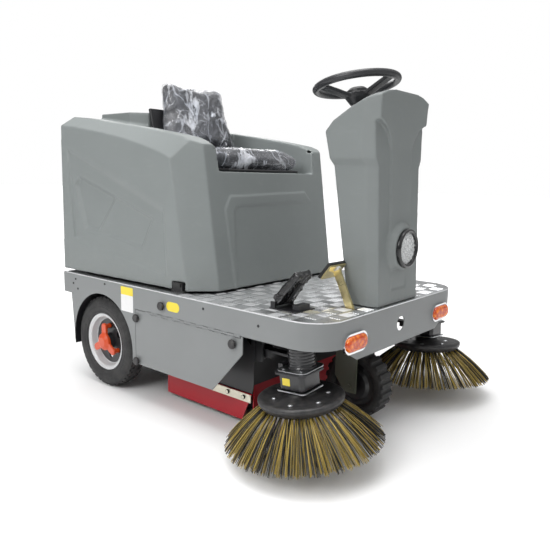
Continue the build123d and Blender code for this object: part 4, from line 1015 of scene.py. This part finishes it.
# %% Wrapped pedal
wrap_gloss = Finish("black_film", (0.006, 0.006, 0.007), 0.16, IOR=1.5, Coat_Weight=0.5, Coat_Roughness=0.06)
wrap_gloss.feed("Roughness", 0.12 + wrap_gloss.speckle(40.0, 3.0) * 0.22)
wrap_gloss.relief(wrap_gloss.speckle(38.0, 3.0, 0.6, (1.6, 0.6, 0.6)), 0.006, 0.8)
start = bmesh.new()
bmesh.ops.create_cube(start, size=1.0)
bmesh.ops.scale(start, verts=start.verts, vec=(84 * mm, 122 * mm, 30 * mm))
for corner in start.verts:
    if corner.co.y < 0:
        corner.co.x *= 0.86
        corner.co.z *= 0.75
bmesh.ops.transform(start, matrix=at(-330, -352, 444, turn_x=-50) @ at(0, -70, 4), verts=start.verts)
wrap_start = bpy.data.meshes.new("wrap_start")
start.to_mesh(wrap_start)
start.free()
wrap = relaxed(wrap_start, 3 * mm, 6, 1.0)
for vertex in wrap.vertices:
    here = Vector((vertex.co.x * 1.8, vertex.co.y, vertex.co.z))
    near = noise.noise(here * 26.0)
    vertex.co += vertex.normal * (3.2 * mm * (1 - min(1.0, abs(near) * 5)) - 1.0 * mm)
piece("pedal_wrap", wrap, wrap_gloss, "accelerator_pedal")
block = bmesh.new()
slab(block, at(-192, -462, 545, turn_x=-26), (9 * mm, 9 * mm), (7.5 * mm, 7.5 * mm), 16 * mm)
piece("brake_stop_block", block, white_label, "brake_pad", smooth=False)
print("details done")

# %% [markdown]
# The machine stands on a plain pale floor in soft light: a large key light on its right-hand
# side, lights above and behind, and a weak fill in front. The floor glows a little to the
# camera away from the machine, so that it runs into the white backdrop.

# %% Floor
floor_mesh = bpy.data.meshes.new("floor")
reach = 30.0
corners = [(-reach, -reach, 0), (reach, -reach, 0), (reach, reach, 0), (-reach, reach, 0)]
floor_mesh.from_pydata(corners, [], [(0, 1, 2, 3)])
floor = bpy.data.objects.new("floor", floor_mesh)
bpy.context.scene.collection.objects.link(floor)
floor_white = Finish("floor_white", (0.93, 0.93, 0.93), 0.75, Emission_Strength=1.0)
from_machine = (floor_white.axis("X").power(2.0) + floor_white.axis("Y").power(2.0)).power(0.5)
seen_floor = floor_white.node("ShaderNodeLightPath", {}, {}, "Is Camera Ray")
floor_white.feed("Emission Color", floor_white.blend(
    ((from_machine - 1.0) * 0.55).clip() * seen_floor, (0.0, 0.0, 0.0), (0.62, 0.62, 0.62)))
floor_mesh.materials.append(floor_white.material)


# %% Lights
def softbox(name, place, aim, size, power):
    lamp = bpy.data.lights.new(name, "AREA")
    lamp.shape = "RECTANGLE"
    lamp.size, lamp.size_y = size
    lamp.energy = power
    holder = bpy.data.objects.new(name, lamp)
    holder.location = place
    holder.rotation_euler = (Vector(aim) - Vector(place)).to_track_quat("-Z", "Y").to_euler()
    bpy.context.scene.collection.objects.link(holder)


softbox("key", (-3.4, -0.1, 2.6), (0, 0.1, 0.6), (1.8, 1.6), 62)
softbox("front_fill", (0.6, -3.8, 1.6), (0, 0, 0.6), (1.6, 1.2), 5)
softbox("top", (-0.2, 0.2, 4.2), (0, 0, 0.5), (2.6, 2.6), 105)
softbox("back", (2.6, 3.2, 2.6), (0, 0, 0.6), (2.0, 2.0), 40)

# %% [markdown]
# The room is bright overhead and dim at eye level, so that dark and glossy parts keep their
# depth, while the backdrop itself stays a clean white.

# %% Room
sky = bpy.data.worlds.new("pale_room")
sky.use_nodes = True
room = sky.node_tree
height = room.nodes.new("ShaderNodeSeparateXYZ")
room.links.new(room.nodes.new("ShaderNodeTexCoord").outputs["Generated"], height.inputs[0])
fade = room.nodes.new("ShaderNodeMapRange")
for key, value in {"From Min": 0.0, "From Max": 0.9, "To Min": 0.16, "To Max": 0.85}.items():
    fade.inputs[key].default_value = value
room.links.new(height.outputs["Z"], fade.inputs["Value"])
seen = room.nodes.new("ShaderNodeMix")
room.links.new(room.nodes.new("ShaderNodeLightPath").outputs["Is Camera Ray"], seen.inputs["Factor"])
room.links.new(fade.outputs["Result"], seen.inputs["A"])
seen.inputs["B"].default_value = 1.0
room.links.new(seen.outputs["Result"], room.nodes["Background"].inputs["Strength"])
room.nodes["Background"].inputs["Color"].default_value = (1.0, 1.0, 1.0, 1.0)
bpy.context.scene.world = sky
bpy.context.scene.view_settings.view_transform = "Standard"

# %% [markdown]
# The camera stands ahead of the machine and to its right, about as high as the seat, and
# looks slightly down with a slight roll.

# %% Camera
turn, drop, roll = math.radians(50.1), math.radians(9.5), math.radians(1.3)
ahead = Vector((math.sin(turn) * math.cos(drop), math.cos(turn) * math.cos(drop), -math.sin(drop)))
level = ahead.cross(Vector((0, 0, 1))).normalized()
upright = level.cross(ahead)
right = level * math.cos(roll) + upright * math.sin(roll)
up = upright * math.cos(roll) - level * math.sin(roll)
stand = Vector((-1.7409, -1.4992, 0.8351))
camera_data = bpy.data.cameras.new("camera")
camera_data.lens = 38.85
camera_data.sensor_width = 36.0
camera = bpy.data.objects.new("camera", camera_data)
camera.matrix_world = Matrix((
    (right.x, up.x, -ahead.x, stand.x), (right.y, up.y, -ahead.y, stand.y),
    (right.z, up.z, -ahead.z, stand.z), (0, 0, 0, 1)))
bpy.context.scene.collection.objects.link(camera)
bpy.context.scene.camera = camera

# %% Last update
bpy.context.view_layer.update()
